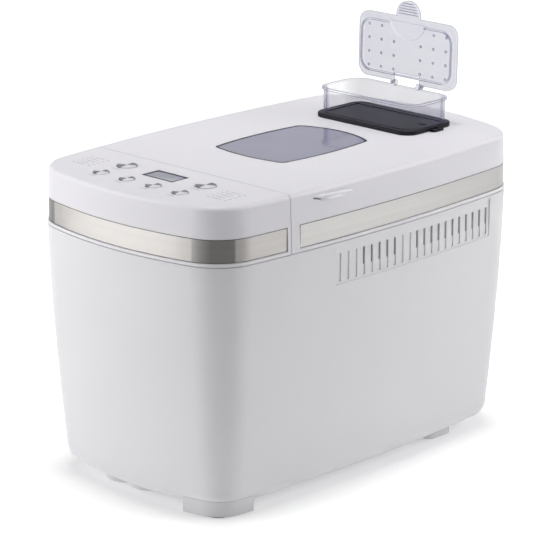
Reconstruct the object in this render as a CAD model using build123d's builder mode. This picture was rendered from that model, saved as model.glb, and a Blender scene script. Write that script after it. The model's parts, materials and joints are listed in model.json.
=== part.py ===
from build123d import *
from math import cos, radians, sin, sqrt
import os

# Bread machine: a tapered white housing with a control panel at its front end, a lid hinged
# at the rear with a window and an ingredient dispenser, and a long pan with two paddles
# that one motor turns through two belts.
# Millimetres. +X is the right side seen from the control panel, -Y the front, +Z up.
# The origin is on the table below the middle of the body.

# Body shell
WIDTH = 264.0
LENGTH = 438.0
SIDE_BOW = 7.6
FRONT_BOW = 9.4
REAR_BOW = 12.0
CORNER_RADIUS = 46.0
BASE_HEIGHT = 8.0
BODY_HEIGHT = 232.0
BODY_WALL = 3.5
BODY_TAPER = 15.4
TAPER_POWER = 1.5
TAPER_STEPS = 4
BOTTOM_RADIUS = 16.0
LEDGE_DROP = 7.0
LEDGE_THICKNESS = 3.0
LEDGE_WIDTH = 6.0
SEAT_GAP = 0.4
CUT_MARGIN = 5.0

# Side vents, counted from the front
VENT_COUNT = 21
BLIND_VENTS = (0, 1, 2, 8, 9)
VENT_FRONT_MARGIN = 159.8
VENT_REAR_MARGIN = 67.9
VENT_WIDTH = 3.0
VENT_DROP = 11.0
GROOVE_HEIGHT = 26.5
SLOT_HEIGHT = 16.5
GROOVE_DEPTH = 0.9
VENT_RECESS = 1.5
RECESS_DROP = 3.0
RECESS_HEIGHT = 37.0
RECESS_MARGIN = 5.5

# Top section, split into the control panel cover and the lid
TOP_HEIGHT = 55.0
TOP_WALL = 4.6
TOP_PLATE = 4.0
TOP_DRAFT = 1.9
TOP_EDGE_RADIUS = 4.5
PANEL_LENGTH = 98.0
SEAM_GAP = 0.6
SPLIT_GAP = 0.8
SPLIT_WALL = 2.6
SKIRT_THICKNESS = 2.2
SKIRT_RISE = 3.0

# Steel trim band
BAND_RISE = 3.9
BAND_HEIGHT = 21.7
BAND_THICKNESS = 0.8
BAND_RECESS = 1.2
BAND_FIT = 0.05
BAND_PANEL_MARGIN = 4.0
BAND_LID_MARGIN = 11.0
BAND_REAR_MARGIN = 12.0
BAND_END_GAP = 0.2

# Lid hinge
BARREL_RADIUS = 9.0
BARREL_WALL = 3.0
HINGE_SPACING = 60.0
EAR_WIDTH = 12.0
EAR_RADIUS = 5.0
EAR_GAP = 0.5
KNUCKLE_WIDTH = 8.0
HINGE_PIN_RADIUS = 2.0
RUNNING_FIT = 0.05
NOTCH_RISE = 6.5
BRACKET_THICKNESS = 2.5
BRACKET_REACH = 11.0
STEM_BACK = 2.5

# Finger lips on the lid's sides
LIP_SETBACK = 26.2
LIP_LENGTH = 53.0
LIP_DROP = 7.0
LIP_HEIGHT = 5.0
LIP_REACH = 4.0
LIP_SLOPE = 35.0

# Lid window
WINDOW_WIDTH = 99.0
WINDOW_SETBACK = 69.2
WINDOW_TRAY_GAP = 25.0
WINDOW_BOWS = (4.0, 4.5, 9.5)
WINDOW_CORNER = 7.0
GLASS_THICKNESS = 2.3
GLASS_SINK = 0.2
GLASS_LEDGE = 3.0
GLASS_GAP = 0.1
FRAME_WALL = 2.5
INNER_GLASS_THICKNESS = 2.5

# Lid liner
LINER_RISE = 6.0
LINER_THICKNESS = 2.0
LINER_REAR_MARGIN = 19.0
LINER_LEDGE = 3.4
BOSS_RADIUS = 4.0
BOSS_INSET = 14.0
BOSS_SETBACK = 22.2
BOSS_REAR_MARGIN = 35.0
GASKET_WIDTH = 5.0
GASKET_GAP = 0.3

# Control panel
SMALL_BUTTON_RADIUS = 7.4
LARGE_BUTTON_RADIUS = 9.6
BUTTON_PITCH = 34.1
BUTTON_ROW_SETBACK = 35.4
LARGE_BUTTON_SETBACK = 67.7
BUTTON_GAP = 0.25
BUTTON_RISE = 1.2
BUTTON_TRAVEL = 1.0
BUTTON_FLANGE = 1.2
FLANGE_THICKNESS = 1.6
FLANGE_DROP = 0.1
STEM_RADIUS = 2.5
SWITCH_SIZE = 6.0
SWITCH_HEIGHT = 4.5
BOARD_DROP = 15.0
BOARD_THICKNESS = 1.6
BOARD_WIDTH = 134.0
BOARD_LENGTH = 66.0
BOARD_SETBACK = 55.0
BOARD_POST_RADIUS = 3.0
BOARD_POST_MARGIN = 4.0
DISPLAY_WIDTH = 40.4
DISPLAY_LENGTH = 22.6
DISPLAY_SETBACK = 66.8
DISPLAY_LENS = 2.0
DISPLAY_SINK = 0.3
DISPLAY_MARGIN = 3.0
DISPLAY_FIT = 0.1

# Feet and bottom cover
FOOT_LEDGE = 0.6
REAR_FOOT_INSET = 31.0
FOOT_CORNER = 7.0
FRONT_FOOT_WIDTH = 51.0
FRONT_FOOT_LENGTH = 52.0
LOBE_RADIUS = 19.0
LOBE_SPACING = 32.0
LOBE_OFFSET = 24.0
LOBE_SETBACK = 51.0
REAR_FOOT_SETBACK = 101.0
REAR_FOOT_WIDTH = 28.0
REAR_FOOT_LENGTH = 34.0
FOOT_LIFT = 1.0
PAD_RADIUS = 11.0
PAD_THICKNESS = 3.0
COVER_OPENING_WIDTH = 130.0
COVER_END_MARGIN = 69.0
COVER_OPENING_RADIUS = 12.0
COVER_THICKNESS = 3.0
COVER_OVERLAP = 6.0
COVER_SLOT_COUNT = 9
COVER_SLOT_PITCH = 12.0
COVER_SLOT_LENGTH = 50.0
COVER_SLOT_GAP = 18.0
COVER_SLOT_WIDTH = 4.0
COVER_SCREW_INSET = 55.0
SCREW_RADIUS = 1.5
SCREW_HEAD_RADIUS = 3.0
SCREW_HEAD_HEIGHT = 2.0
SCREW_DEPTH = 2.0

# Chassis, oven and pan
CHASSIS_RISE = 42.0
CHASSIS_THICKNESS = 2.0
CHASSIS_INSET = 25.0
LEG_RADIUS = 4.0
LEG_INSET = 32.0
LEG_STEP = 5.5
BEARING_HEIGHT = 6.0
BEARING_RADIUS = 14.0
BEARING_NECK_RADIUS = 8.0
BEARING_NECK_LENGTH = 3.0
OVEN_WIDTH = 190.0
OVEN_FRONT_MARGIN = 111.0
OVEN_REAR_MARGIN = 29.0
OVEN_CORNER = 20.0
OVEN_WALL = 1.0
OVEN_FLANGE = 8.0
DECK_THICKNESS = 3.0
DECK_FRONT = 7.0
DECK_HOLE_GAP = 1.0
PAN_WIDTH = 136.0
PAN_FRONT_GAP = 23.0
PAN_REAR_GAP = 15.0
PAN_HEIGHT = 135.0
PAN_DRAFT = 8.0
PAN_CORNER = 22.0
PAN_WALL = 1.6
PAN_RIM = 3.0
PAN_RIM_HEIGHT = 2.0
PAN_FOOT_HEIGHT = 8.0
SOCKET_HEIGHT = 13.0
SOCKET_INNER_RADIUS = 15.0
SOCKET_OUTER_RADIUS = 21.0
BUSH_RADIUS = 9.0
BUSH_RISE = 1.0
BUSH_DROP = 5.0

# Pan handle
HANDLE_DROP = 15.0
HANDLE_WIRE_RADIUS = 2.5
HANDLE_SIDE_GAP = 7.0
HANDLE_END_GAP = 3.5
HANDLE_BEND = 14.0
HANDLE_EYE_RADIUS = 6.0
HANDLE_PIN_RADIUS = 2.6
HANDLE_PIN_OVERRUN = 1.0

# Drive
SHAFT_RADIUS = 4.0
SHAFT_SHARE = 6 / 13
SHAFT_OVERRUN = 2.8
DOG_LIFT = 1.0
DOG_RADIUS = 10.0
DOG_THICKNESS = 3.0
PRONG_HEIGHT = 6.0
PRONG_GAP = 2.3
WING_THICKNESS = 4.0
WING_LENGTH = 17.0
WING_HEIGHT = 5.0
WING_LIFT = 0.4
PADDLE_HUB_RADIUS = 8.0
PADDLE_HUB_HEIGHT = 21.0
PADDLE_LENGTH = 44.0
PADDLE_THICKNESS = 5.0
PADDLE_HEIGHT = 17.0
PADDLE_TIP_HEIGHT = 7.0
PULLEY_FLANGE = 2.5
PULLEY_FLANGE_THICKNESS = 1.0
BELT_WIDTH = 7.0
BELT_THICKNESS = 2.0
BELT_GAP = 0.2
BELT_SIDE_GAP = 0.3
BIG_PULLEY_RADIUS = 40.0
LINK_PULLEY_RADIUS = 24.0
MOTOR_PULLEY_RADIUS = 9.0
PULLEY_TOP_GAP = 1.0

# Motor and power
MOTOR_SETBACK = 59.0
MOTOR_FEET = 4.0
MOTOR_FOOT_RADIUS = 5.0
MOTOR_SIZE = 58.0
BELL_HEIGHT = 11.0
BELL_INSET = 4.0
STATOR_HEIGHT = 32.0
ROTOR_RADIUS = 19.0
ROTOR_GAP = 0.5
ROTOR_END_GAP = 3.0
MOTOR_SHAFT_HOLE = 12.0
MOTOR_SHAFT_OVERRUN = 6.0
POWER_BOARD_X = 66.0
POWER_BOARD_WIDTH = 46.0
POWER_BOARD_LENGTH = 56.0
STANDOFF_HEIGHT = 6.0
STANDOFF_RADIUS = 2.5
STANDOFF_MARGIN = 5.0
TRANSFORMER_SIZE = (28.0, 24.0, 22.0)
RELAY_SIZE = (16.0, 14.0, 16.0)
INLET_SETBACK = 73.0
INLET_RISE = 82.0
INLET_WIDTH = 30.0
INLET_HEIGHT = 24.0
INLET_DEPTH = 40.0
INLET_FIT = 0.2
INLET_WALL = 3.0
INLET_SOCKET_DEPTH = 16.0
INLET_PIN_SIZE = (12.0, 2.0, 5.0)
INLET_PIN_PITCH = 7.0

# Heating element and sensor
ELEMENT_RADIUS = 3.2
ELEMENT_RISE = 26.0
ELEMENT_WALL_GAP = 11.0
ELEMENT_BEND = 14.0
TERMINAL_BEND = 10.0
ELEMENT_TERMINAL_X = 22.0
ELEMENT_TERMINAL_REACH = 12.0
CLIP_WIDTH = 4.0
CLIP_LENGTH = 10.0
CLIP_INSET = 69.0
SENSOR_X = 48.0
SENSOR_RISE = 70.0
SENSOR_RADIUS = 3.0
SENSOR_FLANGE_RADIUS = 7.0
SENSOR_FLANGE_THICKNESS = 3.0
SENSOR_REACH = 12.0

# Dispenser
BOX_WIDTH = 123.0
BOX_DEPTH = 58.5
BOX_REAR_MARGIN = 47.0
BOX_HEIGHT = 24.5
BOX_WALL = 2.0
BOX_CORNER = 16.0
BOX_FLANGE = 2.0
BOX_FLANGE_THICKNESS = 1.8
LIP_SIDE = 1.5
LIP_AHEAD = 5.5
LIP_BEHIND = 4.5
TRAY_HEIGHT = 4.0
TRAY_CORNER = 14.0
TRAY_EDGE_RADIUS = 1.2
FLOOR_MARGIN = 4.4
FLOOR_CORNER = 3.0
SKIRT_WALL = 2.0
SKIRT_DEPTH = 3.5
SKIRT_FIT = 0.4
FLAP_GAP = 0.6
FLAP_THICKNESS = 2.0
FLAP_LIFT = 1.4
FLAP_PIVOT_INSET = 1.5
FLAP_PIN_RADIUS = 0.9
FLAP_PIN_LENGTH = 2.6
CHUTE_WALL = 1.5
CHUTE_FIT = 0.1
CATCH_SETBACK = 27.0
CATCH_LENGTH = 13.0
CATCH_WIDTH = 6.0
CATCH_HEIGHT = 2.0
CATCH_LIFT = 0.3
CATCH_GAP = 0.4
CATCH_TRAVEL = 4.0
CATCH_GROOVE = 1.6
TONGUE_WIDTH = 5.0
TONGUE_THICKNESS = 0.9
TONGUE_SETBACK = 0.2
TONGUE_FIT = 0.15
HOLLOW_LENGTH = 9.0
HOLLOW_WIDTH = 5.0
HOLLOW_DEPTH = 1.0
HOLLOW_MARGIN = 1.5
SOLENOID_SIZE = (26.0, 20.0, 22.0)
SOLENOID_OFFSET = 24.0
PLUNGER_RADIUS = 3.3

# Clear dispenser lid, standing open
CLEAR_LID_WIDTH = 126.0
CLEAR_LID_HEIGHT = 64.5
CLEAR_LID_CORNER = 12.0
CLEAR_LID_THICKNESS = 2.2
CLEAR_LID_LEAN = 1.5
CLEAR_LID_START = 1.5
CLEAR_LID_SEAT = 0.2
PIVOT_BEHIND = 2.3
PIVOT_RISE = 1.5
LUG_SPACING = 30.0
LUG_WIDTH = 3.0
LUG_RADIUS = 2.6
LUG_GAP = 0.3
LUG_PIN_RADIUS = 1.1
CLEAR_KNUCKLE_RADIUS = 2.2
CLEAR_KNUCKLE_RISE = 4.0
CUTOUT_HEIGHT = 8.0
RIB_GAP = 1.0
RIB_WIDTH = 1.6
RIB_HEIGHT = 3.0
TAB_RADIUS = 15.0
TAB_RISE = 1.5
SCOOP_RADIUS = 24.5
SCOOP_RISE = 8.5
SCOOP_DEPTH = 0.8

# Heights and places that follow from the sizes above
seam_z = BASE_HEIGHT + BODY_HEIGHT
top_z = seam_z + TOP_HEIGHT
plate_z = top_z - TOP_PLATE
lid_bottom_z = seam_z + SEAM_GAP
ledge_z = seam_z - LEDGE_DROP
deck_z = ledge_z + DECK_THICKNESS
floor_z = BASE_HEIGHT + BODY_WALL
front_y = -LENGTH / 2
rear_y = LENGTH / 2
split_y = front_y + PANEL_LENGTH
lid_front_y = split_y + SPLIT_GAP
hinge_y = rear_y - BARREL_RADIUS
hinge_z = lid_bottom_z + BARREL_RADIUS
ear_middles = (-HINGE_SPACING / 2, HINGE_SPACING / 2)
seat_inset = BODY_WALL + SEAT_GAP
band_z = seam_z + BAND_RISE
chassis_z = BASE_HEIGHT + CHASSIS_RISE
chassis_top_z = chassis_z + CHASSIS_THICKNESS
tier_height = BELT_WIDTH + 2 * BELT_SIDE_GAP + PULLEY_FLANGE_THICKNESS
pulley_top_z = chassis_z - BEARING_NECK_LENGTH - PULLEY_TOP_GAP
link_tier_z = pulley_top_z - PULLEY_FLANGE_THICKNESS - tier_height
drive_tier_z = link_tier_z - tier_height
shaft_bottom_z = drive_tier_z - SHAFT_OVERRUN
oven_floor_z = chassis_top_z + BEARING_HEIGHT
oven_base_z = oven_floor_z + OVEN_WALL
socket_top_z = oven_base_z + SOCKET_HEIGHT
pan_z = socket_top_z + PAN_FOOT_HEIGHT
pan_top_z = pan_z + PAN_HEIGHT
pan_inside_z = pan_z + PAN_WALL
bush_top_z = pan_inside_z + BUSH_RISE
motor_y = front_y + MOTOR_SETBACK
oven_front_y = front_y + OVEN_FRONT_MARGIN
oven_rear_y = rear_y - OVEN_REAR_MARGIN
oven_length = oven_rear_y - oven_front_y
pan_front_y = oven_front_y + PAN_FRONT_GAP
pan_rear_y = oven_rear_y - PAN_REAR_GAP
pan_length = pan_rear_y - pan_front_y
box_rear_y = rear_y - BOX_REAR_MARGIN
box_front_y = box_rear_y - BOX_DEPTH
catch_y = box_rear_y - CATCH_SETBACK
tray_front_y = box_front_y - LIP_AHEAD
window_outline = (WINDOW_WIDTH / 2, lid_front_y + WINDOW_SETBACK, tray_front_y - WINDOW_TRAY_GAP)


def middle(low, high):
    """Point halfway between two limits."""
    return (low + high) / 2


oven_middle_y = middle(oven_front_y, oven_rear_y)
pan_middle_y = middle(pan_front_y, pan_rear_y)
shaft_spacing = SHAFT_SHARE * pan_length
shaft_ys = {"front": pan_middle_y - shaft_spacing / 2, "rear": pan_middle_y + shaft_spacing / 2}
shaft_points = [(0, y) for y in shaft_ys.values()]


def bowed_outline(half_width, front, rear, bows, corner):
    """Four-sided sketch with bowed sides, front and rear; bows gives how far each bows out
    between the centres of the corners."""
    side_bow, front_bow, rear_bow = bows
    waist_x = half_width - corner
    right = waist_x - side_bow
    low = front + corner + front_bow
    high = rear - corner - rear_bow
    waist_y = middle(low, high)
    with BuildSketch() as outline:
        with BuildLine():
            ThreePointArc((right, low), (waist_x, waist_y), (right, high))
            ThreePointArc((right, high), (0, rear - corner), (-right, high))
            ThreePointArc((-right, high), (-waist_x, waist_y), (-right, low))
            ThreePointArc((-right, low), (0, front + corner), (right, low))
        make_face()
        offset(amount=corner, kind=Kind.ARC)
    return outline.sketch


def plan(inset):
    """The body's widest outline, drawn in by inset."""
    half_width = WIDTH / 2 - inset
    half_length = LENGTH / 2 - inset
    bows = (SIDE_BOW, FRONT_BOW, REAR_BOW)
    return bowed_outline(half_width, -half_length, half_length, bows, CORNER_RADIUS - inset)


def window_shape(inset):
    """The window's outline, drawn in by inset."""
    half_width, front, rear = window_outline
    corner = WINDOW_CORNER - min(inset, WINDOW_CORNER / 2)
    return bowed_outline(half_width - inset, front + inset, rear - inset, WINDOW_BOWS, corner)


def rounded(width, length, corner, centre):
    """Rounded rectangle about a centre."""
    with BuildSketch() as outline:
        with Locations(centre):
            RectangleRounded(width, length, corner)
    return outline.sketch


def strip(low, high):
    """Wide rectangle between two places along Y."""
    with BuildSketch() as outline:
        with Locations((0, middle(low, high))):
            Rectangle(2 * WIDTH, high - low)
    return outline.sketch


def lofted(levels, ruled=False):
    """Solid through plan outlines, given as (height, inset) pairs from the bottom up."""
    with BuildPart() as solid:
        for height, inset in levels:
            with BuildSketch(Plane.XY.offset(height)):
                add(plan(inset))
        loft(ruled=ruled)
    return solid.part


def wall_inset(height):
    """How far the tapered wall of the body lies inside its widest outline at a height."""
    drop = max(seam_z - height, 0) / BODY_HEIGHT
    return BODY_TAPER * drop ** TAPER_POWER


def side_x(y, inset):
    """How far out the side of the body's outline, drawn in by inset, lies at a place along Y."""
    half_chord = LENGTH / 2 - CORNER_RADIUS - middle(FRONT_BOW, REAR_BOW)
    return WIDTH / 2 - inset - SIDE_BOW * (y / half_chord) ** 2


def body_block(bottom, top, inset, corner):
    """The body's tapered form between two heights, drawn in by inset, round at the bottom."""
    heights = [bottom + (top - bottom) * step / TAPER_STEPS for step in range(TAPER_STEPS + 1)]
    with BuildPart() as solid:
        add(lofted([(height, wall_inset(height) + inset) for height in heights]))
        fillet(solid.edges().group_by(Axis.Z)[0], corner)
    return solid.part


def top_inset(height):
    """How far the drafted wall of the top section lies inside the widest outline."""
    return TOP_DRAFT * (height - seam_z) / TOP_HEIGHT


def top_block():
    """The whole top section as a solid block with its rounded top edge."""
    with BuildPart() as solid:
        add(lofted([(height, top_inset(height)) for height in (lid_bottom_z, top_z)], ruled=True))
        fillet(solid.edges().group_by(Axis.Z)[-1], TOP_EDGE_RADIUS)
    return solid.part


def top_cavity(low, high):
    """The hollow of the top section between two places along Y."""
    start_z = lid_bottom_z - CUT_MARGIN
    levels = [(start_z, TOP_WALL), (plate_z, TOP_WALL + TOP_DRAFT)]
    with BuildPart() as solid:
        add(lofted(levels, ruled=True))
        with BuildSketch(Plane.XY.offset(start_z)):
            add(strip(low, high))
        extrude(amount=plate_z - start_z, mode=Mode.INTERSECT)
    return solid.part


def ring(outer_inset, inner_inset, bottom, height, low, high):
    """Upright ring between two plan outlines, kept between two places along Y."""
    with BuildPart() as solid:
        with BuildSketch(Plane.XY.offset(bottom)):
            add(plan(outer_inset))
            add(plan(inner_inset), mode=Mode.SUBTRACT)
            add(strip(low, high), mode=Mode.INTERSECT)
        extrude(amount=height)
    return solid.part


def band_ring(outer_inset, inner_inset, end_gap, low, high):
    """Stretch of the trim band's path, made longer at both ends by end_gap."""
    bottom = band_z - end_gap
    height = BAND_HEIGHT + 2 * end_gap
    return ring(outer_inset, inner_inset, bottom, height, low - end_gap, high + end_gap)


def save(part, name):
    """Label a finished piece and write it to its own file."""
    part.label = name
    export_step(part, f"parts/{name}.step")


os.makedirs("parts", exist_ok=True)

# Lower housing: tapered shell with an inner ledge, side vents, inlet hole and open underside
inlet_y = front_y + INLET_SETBACK
inlet_z = BASE_HEIGHT + INLET_RISE
inlet_face_x = -side_x(inlet_y, wall_inset(inlet_z))
cover_screw_x = COVER_OPENING_WIDTH / 2 + COVER_OVERLAP / 2
cover_opening_length = LENGTH - 2 * COVER_END_MARGIN
cover_screw_y = cover_opening_length / 2 - COVER_SCREW_INSET
cover_screw_xs = (-cover_screw_x, cover_screw_x)
cover_screw_points = [(x, y) for x in cover_screw_xs for y in (-cover_screw_y, cover_screw_y)]
vent_front_y = front_y + VENT_FRONT_MARGIN
vent_pitch = (rear_y - VENT_REAR_MARGIN - vent_front_y) / (VENT_COUNT - 1)
vent_ys = [vent_front_y + vent_pitch * step for step in range(VENT_COUNT)]
open_vent_ys = [y for step, y in enumerate(vent_ys) if step not in BLIND_VENTS]
vent_top_z = seam_z - VENT_DROP
recess_z = seam_z - RECESS_DROP - RECESS_HEIGHT
recess_front_y = vent_ys[0] - RECESS_MARGIN
recess_rear_y = vent_ys[-1] + RECESS_MARGIN

with BuildPart() as lower_housing:
    add(body_block(BASE_HEIGHT, seam_z, 0, BOTTOM_RADIUS))
    cavity_corner = BOTTOM_RADIUS - BODY_WALL
    add(body_block(floor_z, seam_z + CUT_MARGIN, BODY_WALL, cavity_corner), mode=Mode.SUBTRACT)
    ledge_bottom_z = ledge_z - LEDGE_THICKNESS
    add(ring(BODY_WALL / 2, BODY_WALL + LEDGE_WIDTH, ledge_bottom_z, LEDGE_THICKNESS, -LENGTH, LENGTH))
    with BuildSketch(Plane.XY.offset(BASE_HEIGHT)):
        RectangleRounded(COVER_OPENING_WIDTH, cover_opening_length, COVER_OPENING_RADIUS)
    extrude(amount=BODY_WALL, mode=Mode.SUBTRACT)
    for side in (-1, 1):
        edge_x = side * WIDTH / 2
        with BuildSketch(Plane.XY.offset(recess_z)):
            with Locations((edge_x, middle(recess_front_y, recess_rear_y))):
                Rectangle(WIDTH / 2, recess_rear_y - recess_front_y)
            add(plan(VENT_RECESS), mode=Mode.SUBTRACT)
        extrude(amount=RECESS_HEIGHT, mode=Mode.SUBTRACT)
        with BuildSketch(Plane.XY.offset(vent_top_z - GROOVE_HEIGHT)):
            with Locations([(edge_x, y) for y in vent_ys]):
                Rectangle(WIDTH / 2, VENT_WIDTH)
            add(plan(VENT_RECESS + GROOVE_DEPTH), mode=Mode.SUBTRACT)
        extrude(amount=GROOVE_HEIGHT, mode=Mode.SUBTRACT)
        with BuildSketch(Plane.XY.offset(vent_top_z - SLOT_HEIGHT)):
            with Locations([(edge_x, y) for y in open_vent_ys]):
                Rectangle(2 * (SIDE_BOW + BODY_WALL + CUT_MARGIN), VENT_WIDTH)
        extrude(amount=SLOT_HEIGHT, mode=Mode.SUBTRACT)
    with Locations((inlet_face_x, inlet_y, inlet_z)):
        Box(INLET_DEPTH, INLET_WIDTH, INLET_HEIGHT, mode=Mode.SUBTRACT)
    with Locations([(x, y, BASE_HEIGHT) for x, y in cover_screw_points]):
        Cylinder(SCREW_RADIUS, 2 * SCREW_DEPTH, mode=Mode.SUBTRACT)
save(lower_housing.part, "lower_housing")

# Bottom cover: slotted plate under the opening
cover_width = COVER_OPENING_WIDTH + 2 * COVER_OVERLAP
cover_length = cover_opening_length + 2 * COVER_OVERLAP
cover_z = BASE_HEIGHT - COVER_THICKNESS

with BuildPart() as bottom_cover:
    with BuildSketch(Plane.XY.offset(cover_z)):
        RectangleRounded(cover_width, cover_length, COVER_OPENING_RADIUS)
        with GridLocations(COVER_SLOT_LENGTH + COVER_SLOT_GAP, COVER_SLOT_PITCH, 2, COVER_SLOT_COUNT):
            SlotOverall(COVER_SLOT_LENGTH, COVER_SLOT_WIDTH, mode=Mode.SUBTRACT)
        with Locations(cover_screw_points):
            Circle(SCREW_RADIUS, mode=Mode.SUBTRACT)
    extrude(amount=COVER_THICKNESS)
save(bottom_cover.part, "bottom_cover")

# Bottom screws
with BuildPart() as bottom_screws:
    for x, y in cover_screw_points:
        with Locations((x, y, cover_z - SCREW_HEAD_HEIGHT / 2)):
            Cylinder(SCREW_HEAD_RADIUS, SCREW_HEAD_HEIGHT)
        with Locations((x, y, cover_z)):
            shank = COVER_THICKNESS + SCREW_DEPTH
            Cylinder(SCREW_RADIUS, shank, align=(Align.CENTER, Align.CENTER, Align.MIN))
save(bottom_screws.part, "bottom_screws")

# Feet: a corner block at the front right, flush with the housing, a block of two round lobes under
# the front edge, and straight blocks along the sides at the rear
foot_rise = BOTTOM_RADIUS / 2
foot_top_z = BASE_HEIGHT + foot_rise
rounding = BOTTOM_RADIUS - sqrt(BOTTOM_RADIUS**2 - (BOTTOM_RADIUS - foot_rise) ** 2)
foot_inset = wall_inset(foot_top_z) + rounding - FOOT_LEDGE
corner_foot_x = WIDTH / 2 - foot_inset - FRONT_FOOT_WIDTH / 2
corner_foot_y = front_y + foot_inset + FRONT_FOOT_LENGTH / 2
rear_foot_x = WIDTH / 2 - REAR_FOOT_INSET - REAR_FOOT_WIDTH / 2
rear_foot_y = rear_y - REAR_FOOT_SETBACK
rear_foot_size = (REAR_FOOT_WIDTH, REAR_FOOT_LENGTH)
block_places = [((corner_foot_x, corner_foot_y), (FRONT_FOOT_WIDTH, FRONT_FOOT_LENGTH))]
block_places += [((side * rear_foot_x, rear_foot_y), rear_foot_size) for side in (-1, 1)]
lobe_y = front_y + LOBE_SETBACK
lobe_points = [(side * LOBE_SPACING / 2 - LOBE_OFFSET, lobe_y) for side in (-1, 1)]
foot_points = [point for point, size in block_places] + lobe_points

with BuildPart() as feet:
    with BuildSketch(Plane.XY.offset(FOOT_LIFT)):
        for point, size in block_places:
            with Locations(point):
                RectangleRounded(*size, FOOT_CORNER)
        with Locations(lobe_points):
            Circle(LOBE_RADIUS)
        add(plan(foot_inset), mode=Mode.INTERSECT)
    extrude(amount=foot_top_z - FOOT_LIFT)
    add(body_block(BASE_HEIGHT, seam_z, 0, BOTTOM_RADIUS), mode=Mode.SUBTRACT)
    with BuildSketch(Plane.XY.offset(cover_z)):
        Rectangle(cover_width + 2 * SEAT_GAP, cover_length + 2 * SEAT_GAP)
    extrude(amount=COVER_THICKNESS, mode=Mode.SUBTRACT)
    with Locations([(x, y, FOOT_LIFT) for x, y in foot_points]):
        Cylinder(PAD_RADIUS, 2 * (PAD_THICKNESS - FOOT_LIFT), mode=Mode.SUBTRACT)
save(feet.part, "feet")

# Rubber pads let into the feet
with BuildPart() as foot_pads:
    with Locations([(x, y, PAD_THICKNESS / 2) for x, y in foot_points]):
        Cylinder(PAD_RADIUS, PAD_THICKNESS)
save(foot_pads.part, "foot_pads")

# Chassis plate on legs that stand on the housing's floor
leg_x = COVER_OPENING_WIDTH / 2 + LEG_STEP
leg_y = cover_opening_length / 2 - LEG_INSET
leg_points = [(x, y, floor_z) for x in (-leg_x, leg_x) for y in (-leg_y, leg_y)]

with BuildPart() as chassis_plate:
    with BuildSketch(Plane.XY.offset(chassis_z)):
        add(plan(CHASSIS_INSET))
        with Locations(shaft_points):
            Circle(BEARING_NECK_RADIUS, mode=Mode.SUBTRACT)
        with Locations((0, motor_y)):
            Circle(MOTOR_SHAFT_HOLE, mode=Mode.SUBTRACT)
    extrude(amount=CHASSIS_THICKNESS)
    with Locations(leg_points):
        Cylinder(LEG_RADIUS, chassis_z - floor_z, align=(Align.CENTER, Align.CENTER, Align.MIN))
save(chassis_plate.part, "chassis_plate")

# Bearing housings: flanged bushes that carry the drive shafts and the oven's floor
with BuildPart() as bearing_housings:
    for point in shaft_points:
        with BuildSketch(Plane.XY.offset(chassis_top_z)):
            with Locations(point):
                Circle(BEARING_RADIUS)
        extrude(amount=BEARING_HEIGHT)
        with BuildSketch(Plane.XY.offset(chassis_z - BEARING_NECK_LENGTH)):
            with Locations(point):
                Circle(BEARING_NECK_RADIUS)
        extrude(amount=BEARING_NECK_LENGTH + CHASSIS_THICKNESS)
        with BuildSketch(Plane.XY.offset(chassis_z - BEARING_NECK_LENGTH)):
            with Locations(point):
                Circle(SHAFT_RADIUS + RUNNING_FIT)
        extrude(amount=oven_floor_z - chassis_z + BEARING_NECK_LENGTH, mode=Mode.SUBTRACT)
save(bearing_housings.part, "bearing_housings")

# Inner deck: frame on the housing's ledge that carries the oven's flange
deck_front_y = split_y - DECK_FRONT
deck_hole_width = OVEN_WIDTH + 2 * (OVEN_WALL + DECK_HOLE_GAP)
deck_hole_length = oven_length + 2 * (OVEN_WALL + DECK_HOLE_GAP)
oven_centre = (0, oven_middle_y)

with BuildPart() as inner_deck:
    with BuildSketch(Plane.XY.offset(ledge_z)):
        add(plan(seat_inset))
        add(strip(deck_front_y, LENGTH), mode=Mode.INTERSECT)
        hole_corner = OVEN_CORNER + OVEN_WALL + DECK_HOLE_GAP
        add(rounded(deck_hole_width, deck_hole_length, hole_corner, oven_centre), mode=Mode.SUBTRACT)
    extrude(amount=DECK_THICKNESS)
save(inner_deck.part, "inner_deck")

# Oven liner: sheet-metal tub hung by its flange
oven_outer_width = OVEN_WIDTH + 2 * OVEN_WALL
oven_outer_length = oven_length + 2 * OVEN_WALL
oven_outer_corner = OVEN_CORNER + OVEN_WALL
flange_top_z = deck_z + OVEN_WALL
element_z = oven_base_z + ELEMENT_RISE
sensor_z = oven_base_z + SENSOR_RISE

with BuildPart() as oven_liner:
    with BuildSketch(Plane.XY.offset(oven_floor_z)):
        add(rounded(oven_outer_width, oven_outer_length, oven_outer_corner, oven_centre))
    extrude(amount=flange_top_z - oven_floor_z)
    with BuildSketch(Plane.XY.offset(deck_z)):
        flange_corner = oven_outer_corner + OVEN_FLANGE
        flange_width = oven_outer_width + 2 * OVEN_FLANGE
        flange_length = oven_outer_length + 2 * OVEN_FLANGE
        add(rounded(flange_width, flange_length, flange_corner, oven_centre))
    extrude(amount=OVEN_WALL)
    with BuildSketch(Plane.XY.offset(oven_base_z)):
        add(rounded(OVEN_WIDTH, oven_length, OVEN_CORNER, oven_centre))
    extrude(amount=flange_top_z - oven_base_z, mode=Mode.SUBTRACT)
    with BuildSketch(Plane.XY.offset(oven_floor_z)):
        with Locations(shaft_points):
            Circle(BEARING_NECK_RADIUS)
    extrude(amount=OVEN_WALL, mode=Mode.SUBTRACT)
    with BuildSketch(Plane.XZ.offset(-oven_front_y)):
        with Locations((-ELEMENT_TERMINAL_X, element_z), (ELEMENT_TERMINAL_X, element_z)):
            Circle(ELEMENT_RADIUS)
        with Locations((SENSOR_X, sensor_z)):
            Circle(SENSOR_RADIUS)
    extrude(amount=OVEN_WALL, mode=Mode.SUBTRACT)
save(oven_liner.part, "oven_liner")

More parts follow.
